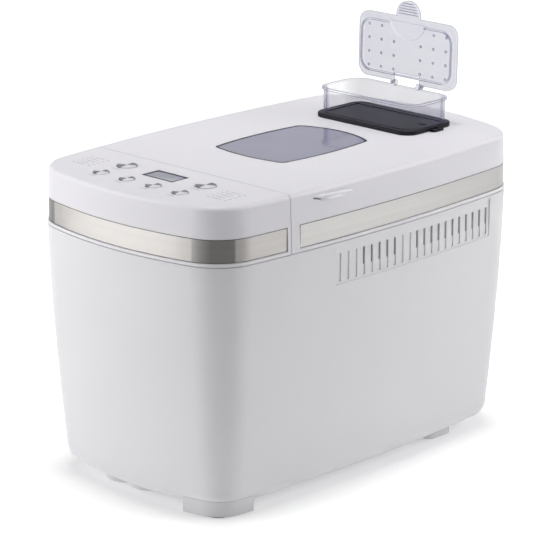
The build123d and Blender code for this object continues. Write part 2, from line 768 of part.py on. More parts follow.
# Heating element: one bent tube round the pan, both ends leaving through the front wall
element_x = OVEN_WIDTH / 2 - ELEMENT_WALL_GAP
element_front_y = oven_front_y + ELEMENT_WALL_GAP
element_rear_y = oven_rear_y - ELEMENT_WALL_GAP
terminal_y = oven_front_y - ELEMENT_TERMINAL_REACH

with BuildPart() as heating_element:
    with BuildLine() as element_path:
        FilletPolyline(
            (-ELEMENT_TERMINAL_X, terminal_y, element_z),
            (-ELEMENT_TERMINAL_X, element_front_y, element_z),
            (-element_x, element_front_y, element_z),
            (-element_x, element_rear_y, element_z),
            (element_x, element_rear_y, element_z),
            (element_x, element_front_y, element_z),
            (ELEMENT_TERMINAL_X, element_front_y, element_z),
            (ELEMENT_TERMINAL_X, terminal_y, element_z),
            radius=[TERMINAL_BEND] + [ELEMENT_BEND] * 4 + [TERMINAL_BEND],
        )
    with BuildSketch(Plane(origin=element_path.line @ 0, z_dir=element_path.line % 0)):
        Circle(ELEMENT_RADIUS)
    sweep()
save(heating_element.part, "heating_element")

# Clips that hold the element up from the oven's floor
clip_height = ELEMENT_RISE
clip_ys = (oven_front_y + CLIP_INSET, oven_rear_y - CLIP_INSET)
clip_points = [(x, y, oven_base_z + clip_height / 2) for x in (-element_x, element_x) for y in clip_ys]

with BuildPart() as element_clips:
    with Locations(clip_points):
        Box(CLIP_LENGTH, CLIP_WIDTH, clip_height)
    add(heating_element.part, mode=Mode.SUBTRACT)
save(element_clips.part, "element_clips")

# Temperature sensor in the oven's front wall
sensor_plane = Plane.XZ.offset(-oven_front_y + OVEN_WALL)

with BuildPart() as temperature_sensor:
    with BuildSketch(sensor_plane):
        with Locations((SENSOR_X, sensor_z)):
            Circle(SENSOR_FLANGE_RADIUS)
    extrude(amount=SENSOR_FLANGE_THICKNESS)
    with BuildSketch(sensor_plane):
        with Locations((SENSOR_X, sensor_z)):
            Circle(SENSOR_RADIUS)
    extrude(amount=-SENSOR_REACH)
save(temperature_sensor.part, "temperature_sensor")

# Pan sockets: collars on the oven's floor round the drive shafts
with BuildPart() as pan_sockets:
    with BuildSketch(Plane.XY.offset(oven_base_z)):
        with Locations(shaft_points):
            Circle(SOCKET_OUTER_RADIUS)
            Circle(SOCKET_INNER_RADIUS, mode=Mode.SUBTRACT)
    extrude(amount=SOCKET_HEIGHT)
save(pan_sockets.part, "pan_sockets")

# Bread pan: drafted tub with a rim, foot rings on the sockets and pivots for its handle
pan_centre = (0, pan_middle_y)
handle_z = pan_top_z - HANDLE_DROP
pan_end = pan_length / 2 - PAN_DRAFT * HANDLE_DROP / PAN_HEIGHT
handle_end = pan_length / 2 + PAN_RIM + HANDLE_END_GAP
handle_pin_end = handle_end + HANDLE_WIRE_RADIUS + HANDLE_PIN_OVERRUN


def pan_loft(inset, bottom):
    """The pan's drafted form from a height up to its rim, drawn in by inset."""
    with BuildPart() as solid:
        for height, draft in ((pan_z, PAN_DRAFT), (pan_top_z, 0)):
            with BuildSketch(Plane.XY.offset(height)):
                drawn_in = 2 * (inset + draft)
                corner = PAN_CORNER - inset - draft / 2
                add(rounded(PAN_WIDTH - drawn_in, pan_length - drawn_in, corner, pan_centre))
        loft(ruled=True)
        with BuildSketch(Plane.XY.offset(bottom)):
            Rectangle(2 * WIDTH, 2 * LENGTH)
        extrude(amount=PAN_HEIGHT + CUT_MARGIN, mode=Mode.INTERSECT)
    return solid.part


with BuildPart() as bread_pan:
    add(pan_loft(0, pan_z))
    with BuildSketch(Plane.XY.offset(pan_top_z - PAN_RIM_HEIGHT)):
        rim_width = PAN_WIDTH + 2 * PAN_RIM
        add(rounded(rim_width, pan_length + 2 * PAN_RIM, PAN_CORNER + PAN_RIM, pan_centre))
    extrude(amount=PAN_RIM_HEIGHT)
    for end in (-1, 1):
        with BuildSketch(Plane.XZ.offset(-pan_middle_y - end * (pan_end - PAN_WALL / 2))):
            with Locations((0, handle_z)):
                Circle(HANDLE_PIN_RADIUS)
        extrude(amount=-end * (handle_pin_end - pan_end + PAN_WALL / 2))
    with BuildSketch(Plane.XY.offset(socket_top_z)):
        with Locations(shaft_points):
            Circle(SOCKET_OUTER_RADIUS)
            Circle(SOCKET_INNER_RADIUS, mode=Mode.SUBTRACT)
    extrude(amount=PAN_FOOT_HEIGHT)
    add(pan_loft(PAN_WALL, pan_inside_z), mode=Mode.SUBTRACT)
    with BuildSketch(Plane.XY.offset(pan_z)):
        with Locations(shaft_points):
            Circle(BUSH_RADIUS)
    extrude(amount=PAN_WALL, mode=Mode.SUBTRACT)
save(bread_pan.part, "bread_pan")

# Shaft bushes pressed into the pan's floor
with BuildPart() as pan_bushes:
    with BuildSketch(Plane.XY.offset(pan_z - BUSH_DROP)):
        with Locations(shaft_points):
            Circle(BUSH_RADIUS)
            Circle(SHAFT_RADIUS + RUNNING_FIT, mode=Mode.SUBTRACT)
    extrude(amount=BUSH_DROP + PAN_WALL + BUSH_RISE)
save(pan_bushes.part, "pan_bushes")

# Pan handle: wire bail folded down to the right, an eye on each pivot
handle_x = PAN_WIDTH / 2 + PAN_RIM + HANDLE_SIDE_GAP
handle_front_y = pan_middle_y - handle_end
handle_rear_y = pan_middle_y + handle_end
wire_start_x = middle(HANDLE_PIN_RADIUS, HANDLE_EYE_RADIUS)

with BuildPart() as pan_handle:
    with BuildLine() as handle_path:
        FilletPolyline(
            (wire_start_x, handle_front_y, handle_z),
            (handle_x, handle_front_y, handle_z),
            (handle_x, handle_rear_y, handle_z),
            (wire_start_x, handle_rear_y, handle_z),
            radius=HANDLE_BEND,
        )
    with BuildSketch(Plane(origin=handle_path.line @ 0, z_dir=handle_path.line % 0)):
        Circle(HANDLE_WIRE_RADIUS)
    sweep()
    for eye_y in (handle_front_y, handle_rear_y):
        with BuildSketch(Plane.XZ.offset(-eye_y)):
            with Locations((0, handle_z)):
                Circle(HANDLE_EYE_RADIUS)
        extrude(amount=HANDLE_WIRE_RADIUS, both=True)
        with BuildSketch(Plane.XZ.offset(-eye_y)):
            with Locations((0, handle_z)):
                Circle(HANDLE_PIN_RADIUS + RUNNING_FIT)
        extrude(amount=2 * HANDLE_WIRE_RADIUS, both=True, mode=Mode.SUBTRACT)
save(pan_handle.part, "pan_handle")

# Drive shafts with their dogs, pan shafts with wings between the dog's prongs, and paddles
dog_z = oven_base_z + DOG_LIFT
prong_z = dog_z + DOG_THICKNESS
wing_z = prong_z + WING_LIFT
paddle_z = bush_top_z + WING_LIFT
paddle_top_z = paddle_z + PADDLE_HUB_HEIGHT

for place, shaft_y in shaft_ys.items():
    with BuildPart() as drive_shaft:
        with BuildSketch(Plane.XY.offset(shaft_bottom_z)):
            with Locations((0, shaft_y)):
                Circle(SHAFT_RADIUS)
        extrude(amount=dog_z - shaft_bottom_z)
        with BuildSketch(Plane.XY.offset(dog_z)):
            with Locations((0, shaft_y)):
                Circle(DOG_RADIUS)
        extrude(amount=DOG_THICKNESS)
        with BuildSketch(Plane.XY.offset(prong_z)):
            with Locations((0, shaft_y)):
                Circle(DOG_RADIUS)
                Rectangle(2 * DOG_RADIUS, 2 * PRONG_GAP, mode=Mode.SUBTRACT)
                Circle(SHAFT_RADIUS + PRONG_GAP, mode=Mode.SUBTRACT)
        extrude(amount=PRONG_HEIGHT)
    save(drive_shaft.part, f"{place}_drive_shaft")

    with BuildPart() as pan_shaft:
        with BuildSketch(Plane.XY.offset(wing_z)):
            with Locations((0, shaft_y)):
                Circle(SHAFT_RADIUS)
        extrude(amount=paddle_top_z - wing_z)
        with BuildSketch(Plane.XY.offset(wing_z)):
            with Locations((0, shaft_y)):
                Rectangle(WING_LENGTH, WING_THICKNESS)
        extrude(amount=WING_HEIGHT)
    save(pan_shaft.part, f"{place}_pan_shaft")

    with BuildPart() as paddle:
        with BuildSketch(Plane.XY.offset(paddle_z)):
            with Locations((0, shaft_y)):
                Circle(PADDLE_HUB_RADIUS)
        extrude(amount=PADDLE_HUB_HEIGHT)
        with BuildSketch(Plane.XZ.offset(-shaft_y)):
            with BuildLine():
                Polyline(
                    (0, paddle_z),
                    (PADDLE_LENGTH, paddle_z),
                    (PADDLE_LENGTH, paddle_z + PADDLE_TIP_HEIGHT),
                    (PADDLE_HUB_RADIUS, paddle_z + PADDLE_HEIGHT),
                    (0, paddle_z + PADDLE_HEIGHT),
                    close=True,
                )
            make_face()
        extrude(amount=PADDLE_THICKNESS / 2, both=True)
        with BuildSketch(Plane.XY.offset(paddle_z)):
            with Locations((0, shaft_y)):
                Circle(SHAFT_RADIUS)
        extrude(amount=PADDLE_HUB_HEIGHT, mode=Mode.SUBTRACT)
    save(paddle.part, f"{place}_paddle")


# Pulleys and belts below the chassis
def pulley(place, tiers):
    """Flanged pulley; tiers lists the (height, radius) of each belt's seat from the bottom."""
    with BuildPart() as wheel:
        for tier_z, radius in tiers:
            with BuildSketch(Plane.XY.offset(tier_z)):
                with Locations(place):
                    Circle(radius)
            extrude(amount=tier_height + PULLEY_FLANGE_THICKNESS)
            flange_zs = (tier_z, tier_z + tier_height)
            for flange_z in flange_zs:
                with BuildSketch(Plane.XY.offset(flange_z)):
                    with Locations(place):
                        Circle(radius + PULLEY_FLANGE)
                extrude(amount=PULLEY_FLANGE_THICKNESS)
        bottom = tiers[0][0]
        with BuildSketch(Plane.XY.offset(bottom)):
            with Locations(place):
                Circle(SHAFT_RADIUS)
        extrude(amount=pulley_top_z - bottom, mode=Mode.SUBTRACT)
    return wheel.part


def belt(first, first_radius, second, second_radius, tier_z):
    """Flat belt round two pulleys, with a small gap to their seats."""
    bottom = tier_z + PULLEY_FLANGE_THICKNESS + BELT_SIDE_GAP

    def loop(extra):
        """Outline of a taut loop round both pulleys, larger by extra."""
        with BuildSketch() as outline:
            with Locations(first):
                Circle(first_radius + extra)
            with Locations(second):
                Circle(second_radius + extra)
            make_hull()
        return outline.sketch

    with BuildPart() as band:
        with BuildSketch(Plane.XY.offset(bottom)):
            add(loop(BELT_GAP + BELT_THICKNESS))
            add(loop(BELT_GAP), mode=Mode.SUBTRACT)
        extrude(amount=BELT_WIDTH)
    return band.part


motor_point = (0, motor_y)
front_shaft = (0, shaft_ys["front"])
rear_shaft = (0, shaft_ys["rear"])
drive_seat = (drive_tier_z, BIG_PULLEY_RADIUS)
link_seat = (link_tier_z, LINK_PULLEY_RADIUS)
save(pulley(front_shaft, (drive_seat, link_seat)), "front_pulley")
save(pulley(rear_shaft, (link_seat,)), "rear_pulley")
save(pulley(motor_point, ((drive_tier_z, MOTOR_PULLEY_RADIUS),)), "motor_pulley")
save(belt(motor_point, MOTOR_PULLEY_RADIUS, front_shaft, BIG_PULLEY_RADIUS, drive_tier_z), "drive_belt")
save(belt(front_shaft, LINK_PULLEY_RADIUS, rear_shaft, LINK_PULLEY_RADIUS, link_tier_z), "link_belt")

# Motor: two end bells on short feet, a laminated stator between them, and the rotor
bell_z = chassis_top_z + MOTOR_FEET
stator_z = bell_z + BELL_HEIGHT
upper_bell_z = stator_z + STATOR_HEIGHT
motor_top_z = upper_bell_z + BELL_HEIGHT
bell_size = MOTOR_SIZE - 2 * BELL_INSET
foot_offset = bell_size / 2 - MOTOR_FOOT_RADIUS

with BuildPart() as motor_stator:
    with BuildSketch(Plane.XY.offset(stator_z)):
        with Locations(motor_point):
            RectangleRounded(MOTOR_SIZE, MOTOR_SIZE, BELL_INSET)
            Circle(ROTOR_RADIUS + ROTOR_GAP, mode=Mode.SUBTRACT)
    extrude(amount=STATOR_HEIGHT)
save(motor_stator.part, "motor_stator")

with BuildPart() as motor_end_bells:
    for bottom, hollow_z in ((bell_z, stator_z - ROTOR_END_GAP), (upper_bell_z, upper_bell_z)):
        with BuildSketch(Plane.XY.offset(bottom)):
            with Locations(motor_point):
                RectangleRounded(bell_size, bell_size, BELL_INSET)
                Circle(SHAFT_RADIUS + RUNNING_FIT, mode=Mode.SUBTRACT)
        extrude(amount=BELL_HEIGHT)
        with BuildSketch(Plane.XY.offset(hollow_z)):
            with Locations(motor_point):
                Circle(ROTOR_RADIUS + ROTOR_GAP)
        extrude(amount=ROTOR_END_GAP, mode=Mode.SUBTRACT)
    with BuildSketch(Plane.XY.offset(chassis_top_z)):
        with Locations(motor_point):
            with GridLocations(2 * foot_offset, 2 * foot_offset, 2, 2):
                Circle(MOTOR_FOOT_RADIUS)
    extrude(amount=MOTOR_FEET)
save(motor_end_bells.part, "motor_end_bells")

with BuildPart() as motor_rotor:
    with BuildSketch(Plane.XY.offset(drive_tier_z)):
        with Locations(motor_point):
            Circle(SHAFT_RADIUS)
    extrude(amount=motor_top_z + MOTOR_SHAFT_OVERRUN - drive_tier_z)
    with BuildSketch(Plane.XY.offset(stator_z)):
        with Locations(motor_point):
            Circle(ROTOR_RADIUS)
    extrude(amount=STATOR_HEIGHT)
save(motor_rotor.part, "motor_rotor")

# Power board on standoffs beside the motor
power_board_z = chassis_top_z + STANDOFF_HEIGHT
power_board_top_z = power_board_z + BOARD_THICKNESS
power_board_centre = (POWER_BOARD_X, motor_y)
standoff_x = POWER_BOARD_WIDTH - 2 * STANDOFF_MARGIN
standoff_y = POWER_BOARD_LENGTH - 2 * STANDOFF_MARGIN
transformer_width, transformer_length, transformer_height = TRANSFORMER_SIZE
relay_width, relay_length, relay_height = RELAY_SIZE

with BuildPart() as power_board:
    with BuildSketch(Plane.XY.offset(power_board_z)):
        with Locations(power_board_centre):
            Rectangle(POWER_BOARD_WIDTH, POWER_BOARD_LENGTH)
    extrude(amount=BOARD_THICKNESS)
    with BuildSketch(Plane.XY.offset(chassis_top_z)):
        with Locations(power_board_centre):
            with GridLocations(standoff_x, standoff_y, 2, 2):
                Circle(STANDOFF_RADIUS)
    extrude(amount=STANDOFF_HEIGHT)
    with BuildSketch(Plane.XY.offset(power_board_top_z)):
        with Locations((POWER_BOARD_X, motor_y - POWER_BOARD_LENGTH / 2 + transformer_length)):
            Rectangle(transformer_width, transformer_length)
    extrude(amount=transformer_height)
    with BuildSketch(Plane.XY.offset(power_board_top_z)):
        with Locations((POWER_BOARD_X, motor_y + POWER_BOARD_LENGTH / 2 - relay_length)):
            Rectangle(relay_width, relay_length)
    extrude(amount=relay_height)
save(power_board.part, "power_board")

# Power inlet: socket with three flat pins in the left wall
inlet_inner_x = inlet_face_x + INLET_DEPTH / 2
inlet_outer_x = inlet_face_x - BODY_WALL / 2
inlet_length = inlet_inner_x - inlet_outer_x
socket_base_x = inlet_outer_x + INLET_SOCKET_DEPTH
pin_length, pin_width, pin_height = INLET_PIN_SIZE

with BuildPart() as power_inlet:
    with Locations((middle(inlet_inner_x, inlet_outer_x), inlet_y, inlet_z)):
        Box(inlet_length, INLET_WIDTH - 2 * INLET_FIT, INLET_HEIGHT - 2 * INLET_FIT)
    with Locations((middle(inlet_outer_x, socket_base_x), inlet_y, inlet_z)):
        socket_width = INLET_WIDTH - 2 * INLET_FIT - 2 * INLET_WALL
        socket_height = INLET_HEIGHT - 2 * INLET_FIT - 2 * INLET_WALL
        Box(INLET_SOCKET_DEPTH, socket_width, socket_height, mode=Mode.SUBTRACT)
    with Locations([(socket_base_x - pin_length / 2, inlet_y + step * INLET_PIN_PITCH, inlet_z)
                    for step in (-1, 0, 1)]):
        Box(pin_length, pin_width, pin_height)
save(power_inlet.part, "power_inlet")

# Control panel cover: front of the top section, with button holes, display opening and posts
row_xs = [BUTTON_PITCH * step for step in (-1.5, -0.5, 0.5, 1.5)]
button_row_y = front_y + BUTTON_ROW_SETBACK
large_button_y = front_y + LARGE_BUTTON_SETBACK
display_y = front_y + DISPLAY_SETBACK
board_middle_y = front_y + BOARD_SETBACK
buttons = {
    "menu_button": (row_xs[0], button_row_y, SMALL_BUTTON_RADIUS),
    "loaf_button": (row_xs[1], button_row_y, SMALL_BUTTON_RADIUS),
    "colour_button": (row_xs[2], button_row_y, SMALL_BUTTON_RADIUS),
    "light_button": (row_xs[3], button_row_y, SMALL_BUTTON_RADIUS),
    "timer_button": (row_xs[0], large_button_y, LARGE_BUTTON_RADIUS),
    "start_button": (row_xs[3], large_button_y, LARGE_BUTTON_RADIUS),
}
board_z = top_z - BOARD_DROP
board_top_z = board_z + BOARD_THICKNESS
post_x = BOARD_WIDTH / 2 - BOARD_POST_MARGIN
post_y = BOARD_LENGTH / 2 - BOARD_POST_MARGIN
post_points = [(x, board_middle_y + y) for x in (-post_x, post_x) for y in (-post_y, post_y)]
panel_band = (-LENGTH, split_y - BAND_PANEL_MARGIN)
lid_band = (split_y + BAND_LID_MARGIN, LENGTH / 2 - BAND_REAR_MARGIN)
groove_inset = BAND_RECESS + BAND_THICKNESS + BAND_FIT

with BuildPart() as front_top_cover:
    add(top_block())
    split(bisect_by=Plane.XZ.offset(-split_y), keep=Keep.TOP)
    add(top_cavity(-LENGTH, split_y - SPLIT_WALL), mode=Mode.SUBTRACT)
    add(band_ring(-CUT_MARGIN, groove_inset, BAND_END_GAP, *panel_band), mode=Mode.SUBTRACT)
    skirt_height = lid_bottom_z + SKIRT_RISE - ledge_z
    skirt_rear_y = deck_front_y - SEAT_GAP
    skirt_inner = seat_inset + SKIRT_THICKNESS
    add(ring(seat_inset, skirt_inner, ledge_z, skirt_height, -LENGTH, skirt_rear_y))
    with BuildSketch(Plane.XY.offset(deck_z)):
        add(plan(seat_inset))
        add(strip(split_y - SPLIT_WALL, split_y), mode=Mode.INTERSECT)
    extrude(amount=lid_bottom_z + SKIRT_RISE - deck_z)
    with BuildSketch(Plane.XY.offset(board_top_z)):
        with Locations(post_points):
            Circle(BOARD_POST_RADIUS)
    extrude(amount=plate_z - board_top_z)
    with BuildSketch(Plane.XY.offset(plate_z)):
        for button_x, button_y, radius in buttons.values():
            with Locations((button_x, button_y)):
                Circle(radius + BUTTON_GAP)
        with Locations((0, display_y)):
            Rectangle(DISPLAY_WIDTH, DISPLAY_LENGTH)
    extrude(amount=TOP_PLATE, mode=Mode.SUBTRACT)
save(front_top_cover.part, "front_top_cover")

# Trim bands
with BuildPart() as front_trim_band:
    add(band_ring(BAND_RECESS, BAND_RECESS + BAND_THICKNESS, 0, *panel_band))
save(front_trim_band.part, "front_trim_band")

with BuildPart() as lid_trim_band:
    add(band_ring(BAND_RECESS, BAND_RECESS + BAND_THICKNESS, 0, *lid_band))
save(lid_trim_band.part, "lid_trim_band")

# Control board hung under the panel, with a display module and a switch below each button
switch_top_z = board_top_z + SWITCH_HEIGHT
lens_z = top_z - DISPLAY_SINK - DISPLAY_LENS

with BuildPart() as control_board:
    with BuildSketch(Plane.XY.offset(board_z)):
        with Locations((0, board_middle_y)):
            Rectangle(BOARD_WIDTH, BOARD_LENGTH)
    extrude(amount=BOARD_THICKNESS)
save(control_board.part, "control_board")

with BuildPart() as tact_switches:
    with BuildSketch(Plane.XY.offset(board_top_z)):
        with Locations([(x, y) for x, y, radius in buttons.values()]):
            Rectangle(SWITCH_SIZE, SWITCH_SIZE)
    extrude(amount=SWITCH_HEIGHT)
save(tact_switches.part, "tact_switches")

with BuildPart() as display_module:
    with BuildSketch(Plane.XY.offset(board_top_z)):
        with Locations((0, display_y)):
            Rectangle(DISPLAY_WIDTH + 2 * DISPLAY_MARGIN, DISPLAY_LENGTH + 2 * DISPLAY_MARGIN)
    extrude(amount=plate_z - board_top_z)
    with BuildSketch(Plane.XY.offset(plate_z)):
        with Locations((0, display_y)):
            Rectangle(DISPLAY_WIDTH - 2 * DISPLAY_FIT, DISPLAY_LENGTH - 2 * DISPLAY_FIT)
    extrude(amount=lens_z - plate_z)
save(display_module.part, "display_module")

with BuildPart() as display_lens:
    with BuildSketch(Plane.XY.offset(lens_z)):
        with Locations((0, display_y)):
            Rectangle(DISPLAY_WIDTH - 2 * DISPLAY_FIT, DISPLAY_LENGTH - 2 * DISPLAY_FIT)
    extrude(amount=DISPLAY_LENS)
save(display_lens.part, "display_lens")

# Buttons: capped discs with a hidden flange and a stem above the switch
stem_z = switch_top_z + BUTTON_TRAVEL + FLANGE_DROP
flange_z = plate_z - FLANGE_DROP - FLANGE_THICKNESS

for name, (button_x, button_y, radius) in buttons.items():
    with BuildPart() as button:
        with BuildSketch(Plane.XY.offset(flange_z)):
            with Locations((button_x, button_y)):
                Circle(radius)
        extrude(amount=top_z + BUTTON_RISE - flange_z)
        fillet(button.edges().group_by(Axis.Z)[-1], BUTTON_RISE / 2)
        with BuildSketch(Plane.XY.offset(flange_z)):
            with Locations((button_x, button_y)):
                Circle(radius + BUTTON_FLANGE)
        extrude(amount=FLANGE_THICKNESS)
        with BuildSketch(Plane.XY.offset(stem_z)):
            with Locations((button_x, button_y)):
                Circle(STEM_RADIUS)
        extrude(amount=flange_z - stem_z)
    save(button.part, name)

# Hinge brackets on the deck and their pins
bracket_front_y = hinge_y - BRACKET_REACH
bracket_rear_y = hinge_y + STEM_BACK
knuckle_span = EAR_WIDTH + 2 * (EAR_GAP + KNUCKLE_WIDTH)

with BuildPart() as hinge_brackets:
    for ear_x in ear_middles:
        with BuildSketch(Plane.YZ.offset(ear_x)):
            with Locations((middle(bracket_front_y, bracket_rear_y), deck_z + BRACKET_THICKNESS / 2)):
                Rectangle(bracket_rear_y - bracket_front_y, BRACKET_THICKNESS)
            with Locations((middle(hinge_y - EAR_RADIUS, bracket_rear_y), middle(deck_z, hinge_z))):
                Rectangle(bracket_rear_y - hinge_y + EAR_RADIUS, hinge_z - deck_z)
            with Locations((hinge_y, hinge_z)):
                Circle(EAR_RADIUS)
                Circle(HINGE_PIN_RADIUS, mode=Mode.SUBTRACT)
        extrude(amount=EAR_WIDTH / 2, both=True)
save(hinge_brackets.part, "hinge_brackets")

with BuildPart() as hinge_pins:
    for ear_x in ear_middles:
        with BuildSketch(Plane.YZ.offset(ear_x)):
            with Locations((hinge_y, hinge_z)):
                Circle(HINGE_PIN_RADIUS)
        extrude(amount=knuckle_span / 2, both=True)
save(hinge_pins.part, "hinge_pins")

# Dispenser outlines that the lid, the tray and the chute share
box_centre = (0, middle(box_front_y, box_rear_y))
floor_width = BOX_WIDTH - 2 * BOX_WALL - 2 * FLOOR_MARGIN
floor_length = BOX_DEPTH - 2 * BOX_WALL - 2 * FLOOR_MARGIN
tray_skirt_width = floor_width + 2 * SKIRT_WALL
tray_skirt_length = floor_length + 2 * SKIRT_WALL
port_width = tray_skirt_width + 2 * SKIRT_FIT
port_length = tray_skirt_length + 2 * SKIRT_FIT
port_corner = FLOOR_CORNER + SKIRT_WALL + SKIRT_FIT
liner_z = seam_z + LINER_RISE
liner_top_z = liner_z + LINER_THICKNESS
glass_z = top_z - GLASS_SINK - GLASS_THICKNESS
chute_outer_width = port_width + 2 * CHUTE_WALL
chute_outer_length = port_length + 2 * CHUTE_WALL
chute_corner = port_corner + CHUTE_WALL
boss_x = WIDTH / 2 - SIDE_BOW - TOP_WALL - TOP_DRAFT - BOSS_INSET
boss_front_y = lid_front_y + BOSS_SETBACK
boss_rear_y = rear_y - BOSS_REAR_MARGIN
boss_ys = (boss_front_y, middle(boss_front_y, boss_rear_y), boss_rear_y)
boss_points = [(x, y) for x in (-boss_x, boss_x) for y in boss_ys]

# Lid shell: rear of the top section, rounded about the hinge line along its rear edge
lid_half_length = WIDTH

with BuildPart() as barrel:
    with BuildSketch(Plane.YZ):
        with Locations((hinge_y, hinge_z)):
            Circle(BARREL_RADIUS)
            Circle(BARREL_RADIUS - BARREL_WALL, mode=Mode.SUBTRACT)
            Rectangle(BARREL_RADIUS, BARREL_RADIUS, align=(Align.MIN, Align.MAX), mode=Mode.INTERSECT)
    extrude(amount=lid_half_length, both=True)
    add(top_block(), mode=Mode.INTERSECT)

with BuildPart() as lid_shell:
    add(top_block())
    split(bisect_by=Plane.XZ.offset(-lid_front_y), keep=Keep.BOTTOM)
    add(top_cavity(lid_front_y + SPLIT_WALL, LENGTH), mode=Mode.SUBTRACT)
    with BuildSketch(Plane.YZ):
        with Locations((hinge_y, hinge_z)):
            clear = BARREL_RADIUS + CUT_MARGIN
            Rectangle(clear, clear, align=(Align.MIN, Align.MAX))
            Circle(BARREL_RADIUS, mode=Mode.SUBTRACT)
    extrude(amount=lid_half_length, both=True, mode=Mode.SUBTRACT)
    add(barrel.part)
    for ear_x in ear_middles:
        with BuildSketch(Plane.YZ.offset(ear_x)):
            with Locations((hinge_y, hinge_z)):
                Circle(EAR_RADIUS)
                Rectangle(BARREL_RADIUS - BARREL_WALL / 2, NOTCH_RISE, align=(Align.MIN, Align.MIN))
        extrude(amount=knuckle_span / 2, both=True)
        with BuildSketch(Plane.YZ.offset(ear_x)):
            with Locations((hinge_y - NOTCH_RISE, hinge_z + NOTCH_RISE)):
                notch_length = BARREL_RADIUS + NOTCH_RISE + CUT_MARGIN
                notch_height = BARREL_RADIUS + NOTCH_RISE + CUT_MARGIN
                Rectangle(notch_length, notch_height, align=(Align.MIN, Align.MAX))
        extrude(amount=EAR_WIDTH / 2 + EAR_GAP, both=True, mode=Mode.SUBTRACT)
        with BuildSketch(Plane.YZ.offset(ear_x)):
            with Locations((hinge_y, hinge_z)):
                Circle(HINGE_PIN_RADIUS + RUNNING_FIT)
        extrude(amount=knuckle_span / 2, both=True, mode=Mode.SUBTRACT)
    lip_z = top_z - LIP_DROP - LIP_HEIGHT
    lip_front_y = lid_front_y + LIP_SETBACK
    lip_rear_y = lip_front_y + LIP_LENGTH
    lip_middle_y = middle(lip_front_y, lip_rear_y)
    lip_root = top_inset(lip_z) + TOP_WALL - SEAT_GAP
    lip_front = (side_x(lip_front_y, lip_root), lip_front_y)
    lip_tip = (side_x(lip_middle_y, top_inset(lip_z) - LIP_REACH), lip_middle_y)
    lip_rear = (side_x(lip_rear_y, lip_root), lip_rear_y)
    with BuildSketch(Plane.XY.offset(lip_z)):
        with BuildLine():
            ThreePointArc(lip_front, lip_tip, lip_rear)
            Line(lip_rear, lip_front)
        make_face()
        mirror(about=Plane.YZ)
    extrude(amount=LIP_HEIGHT, taper=LIP_SLOPE)
    add(band_ring(-CUT_MARGIN, groove_inset, BAND_END_GAP, *lid_band), mode=Mode.SUBTRACT)
    with BuildSketch(Plane.XY.offset(liner_top_z)):
        with Locations(boss_points):
            Circle(BOSS_RADIUS)
    extrude(amount=plate_z - liner_top_z)
    with BuildSketch(Plane.XY.offset(glass_z)):
        add(window_shape(0))
    extrude(amount=GLASS_THICKNESS + GLASS_SINK, mode=Mode.SUBTRACT)
    with BuildSketch(Plane.XY.offset(plate_z)):
        add(window_shape(GLASS_LEDGE))
        add(rounded(port_width, port_length, port_corner, box_centre))
    extrude(amount=TOP_PLATE, mode=Mode.SUBTRACT)
save(lid_shell.part, "lid_shell")

# Window: flush glass, a frame down to the liner, and an inner pane on the liner
with BuildPart() as window_glass:
    with BuildSketch(Plane.XY.offset(glass_z)):
        add(window_shape(GLASS_GAP))
    extrude(amount=GLASS_THICKNESS)
save(window_glass.part, "window_glass")

with BuildPart() as window_frame:
    with BuildSketch(Plane.XY.offset(liner_top_z)):
        add(window_shape(GLASS_LEDGE))
        add(window_shape(GLASS_LEDGE + FRAME_WALL), mode=Mode.SUBTRACT)
    extrude(amount=plate_z - liner_top_z)
save(window_frame.part, "window_frame")

with BuildPart() as inner_window:
    with BuildSketch(Plane.XY.offset(liner_top_z)):
        add(window_shape(GLASS_LEDGE + FRAME_WALL + GLASS_GAP))
    extrude(amount=INNER_GLASS_THICKNESS)
save(inner_window.part, "inner_window")

# Lid liner, its gasket, and the chute from the dispenser to the oven
liner_front_y = lid_front_y + SPLIT_WALL + SEAT_GAP
gasket_width = OVEN_WIDTH + OVEN_FLANGE
gasket_length = oven_length + OVEN_FLANGE
gasket_corner = OVEN_CORNER + OVEN_FLANGE / 2
gasket_z = flange_top_z + GASKET_GAP

with BuildPart() as lid_liner:
    with BuildSketch(Plane.XY.offset(liner_z)):
        add(plan(TOP_WALL + TOP_DRAFT + SEAT_GAP))
        add(strip(liner_front_y, rear_y - LINER_REAR_MARGIN), mode=Mode.INTERSECT)
        add(window_shape(GLASS_LEDGE + FRAME_WALL + LINER_LEDGE), mode=Mode.SUBTRACT)
        hole_width = chute_outer_width + 2 * CHUTE_FIT
        hole_length = chute_outer_length + 2 * CHUTE_FIT
        add(rounded(hole_width, hole_length, chute_corner + CHUTE_FIT, box_centre), mode=Mode.SUBTRACT)
    extrude(amount=LINER_THICKNESS)
save(lid_liner.part, "lid_liner")

with BuildPart() as lid_gasket:
    with BuildSketch(Plane.XY.offset(gasket_z)):
        add(rounded(gasket_width, gasket_length, gasket_corner, oven_centre))
        inner_width = gasket_width - 2 * GASKET_WIDTH
        inner_length = gasket_length - 2 * GASKET_WIDTH
        inner_corner = gasket_corner - GASKET_WIDTH
        add(rounded(inner_width, inner_length, inner_corner, oven_centre), mode=Mode.SUBTRACT)
    extrude(amount=liner_z - gasket_z)
save(lid_gasket.part, "lid_gasket")

with BuildPart() as dispenser_chute:
    with BuildSketch(Plane.XY.offset(liner_z)):
        add(rounded(chute_outer_width, chute_outer_length, chute_corner, box_centre))
        add(rounded(port_width, port_length, port_corner, box_centre), mode=Mode.SUBTRACT)
    extrude(amount=plate_z - liner_z)
save(dispenser_chute.part, "dispenser_chute")

# Solenoid under the lid's top, beside the chute
solenoid_width, solenoid_length, solenoid_height = SOLENOID_SIZE
solenoid_x = chute_outer_width / 2 + SOLENOID_OFFSET

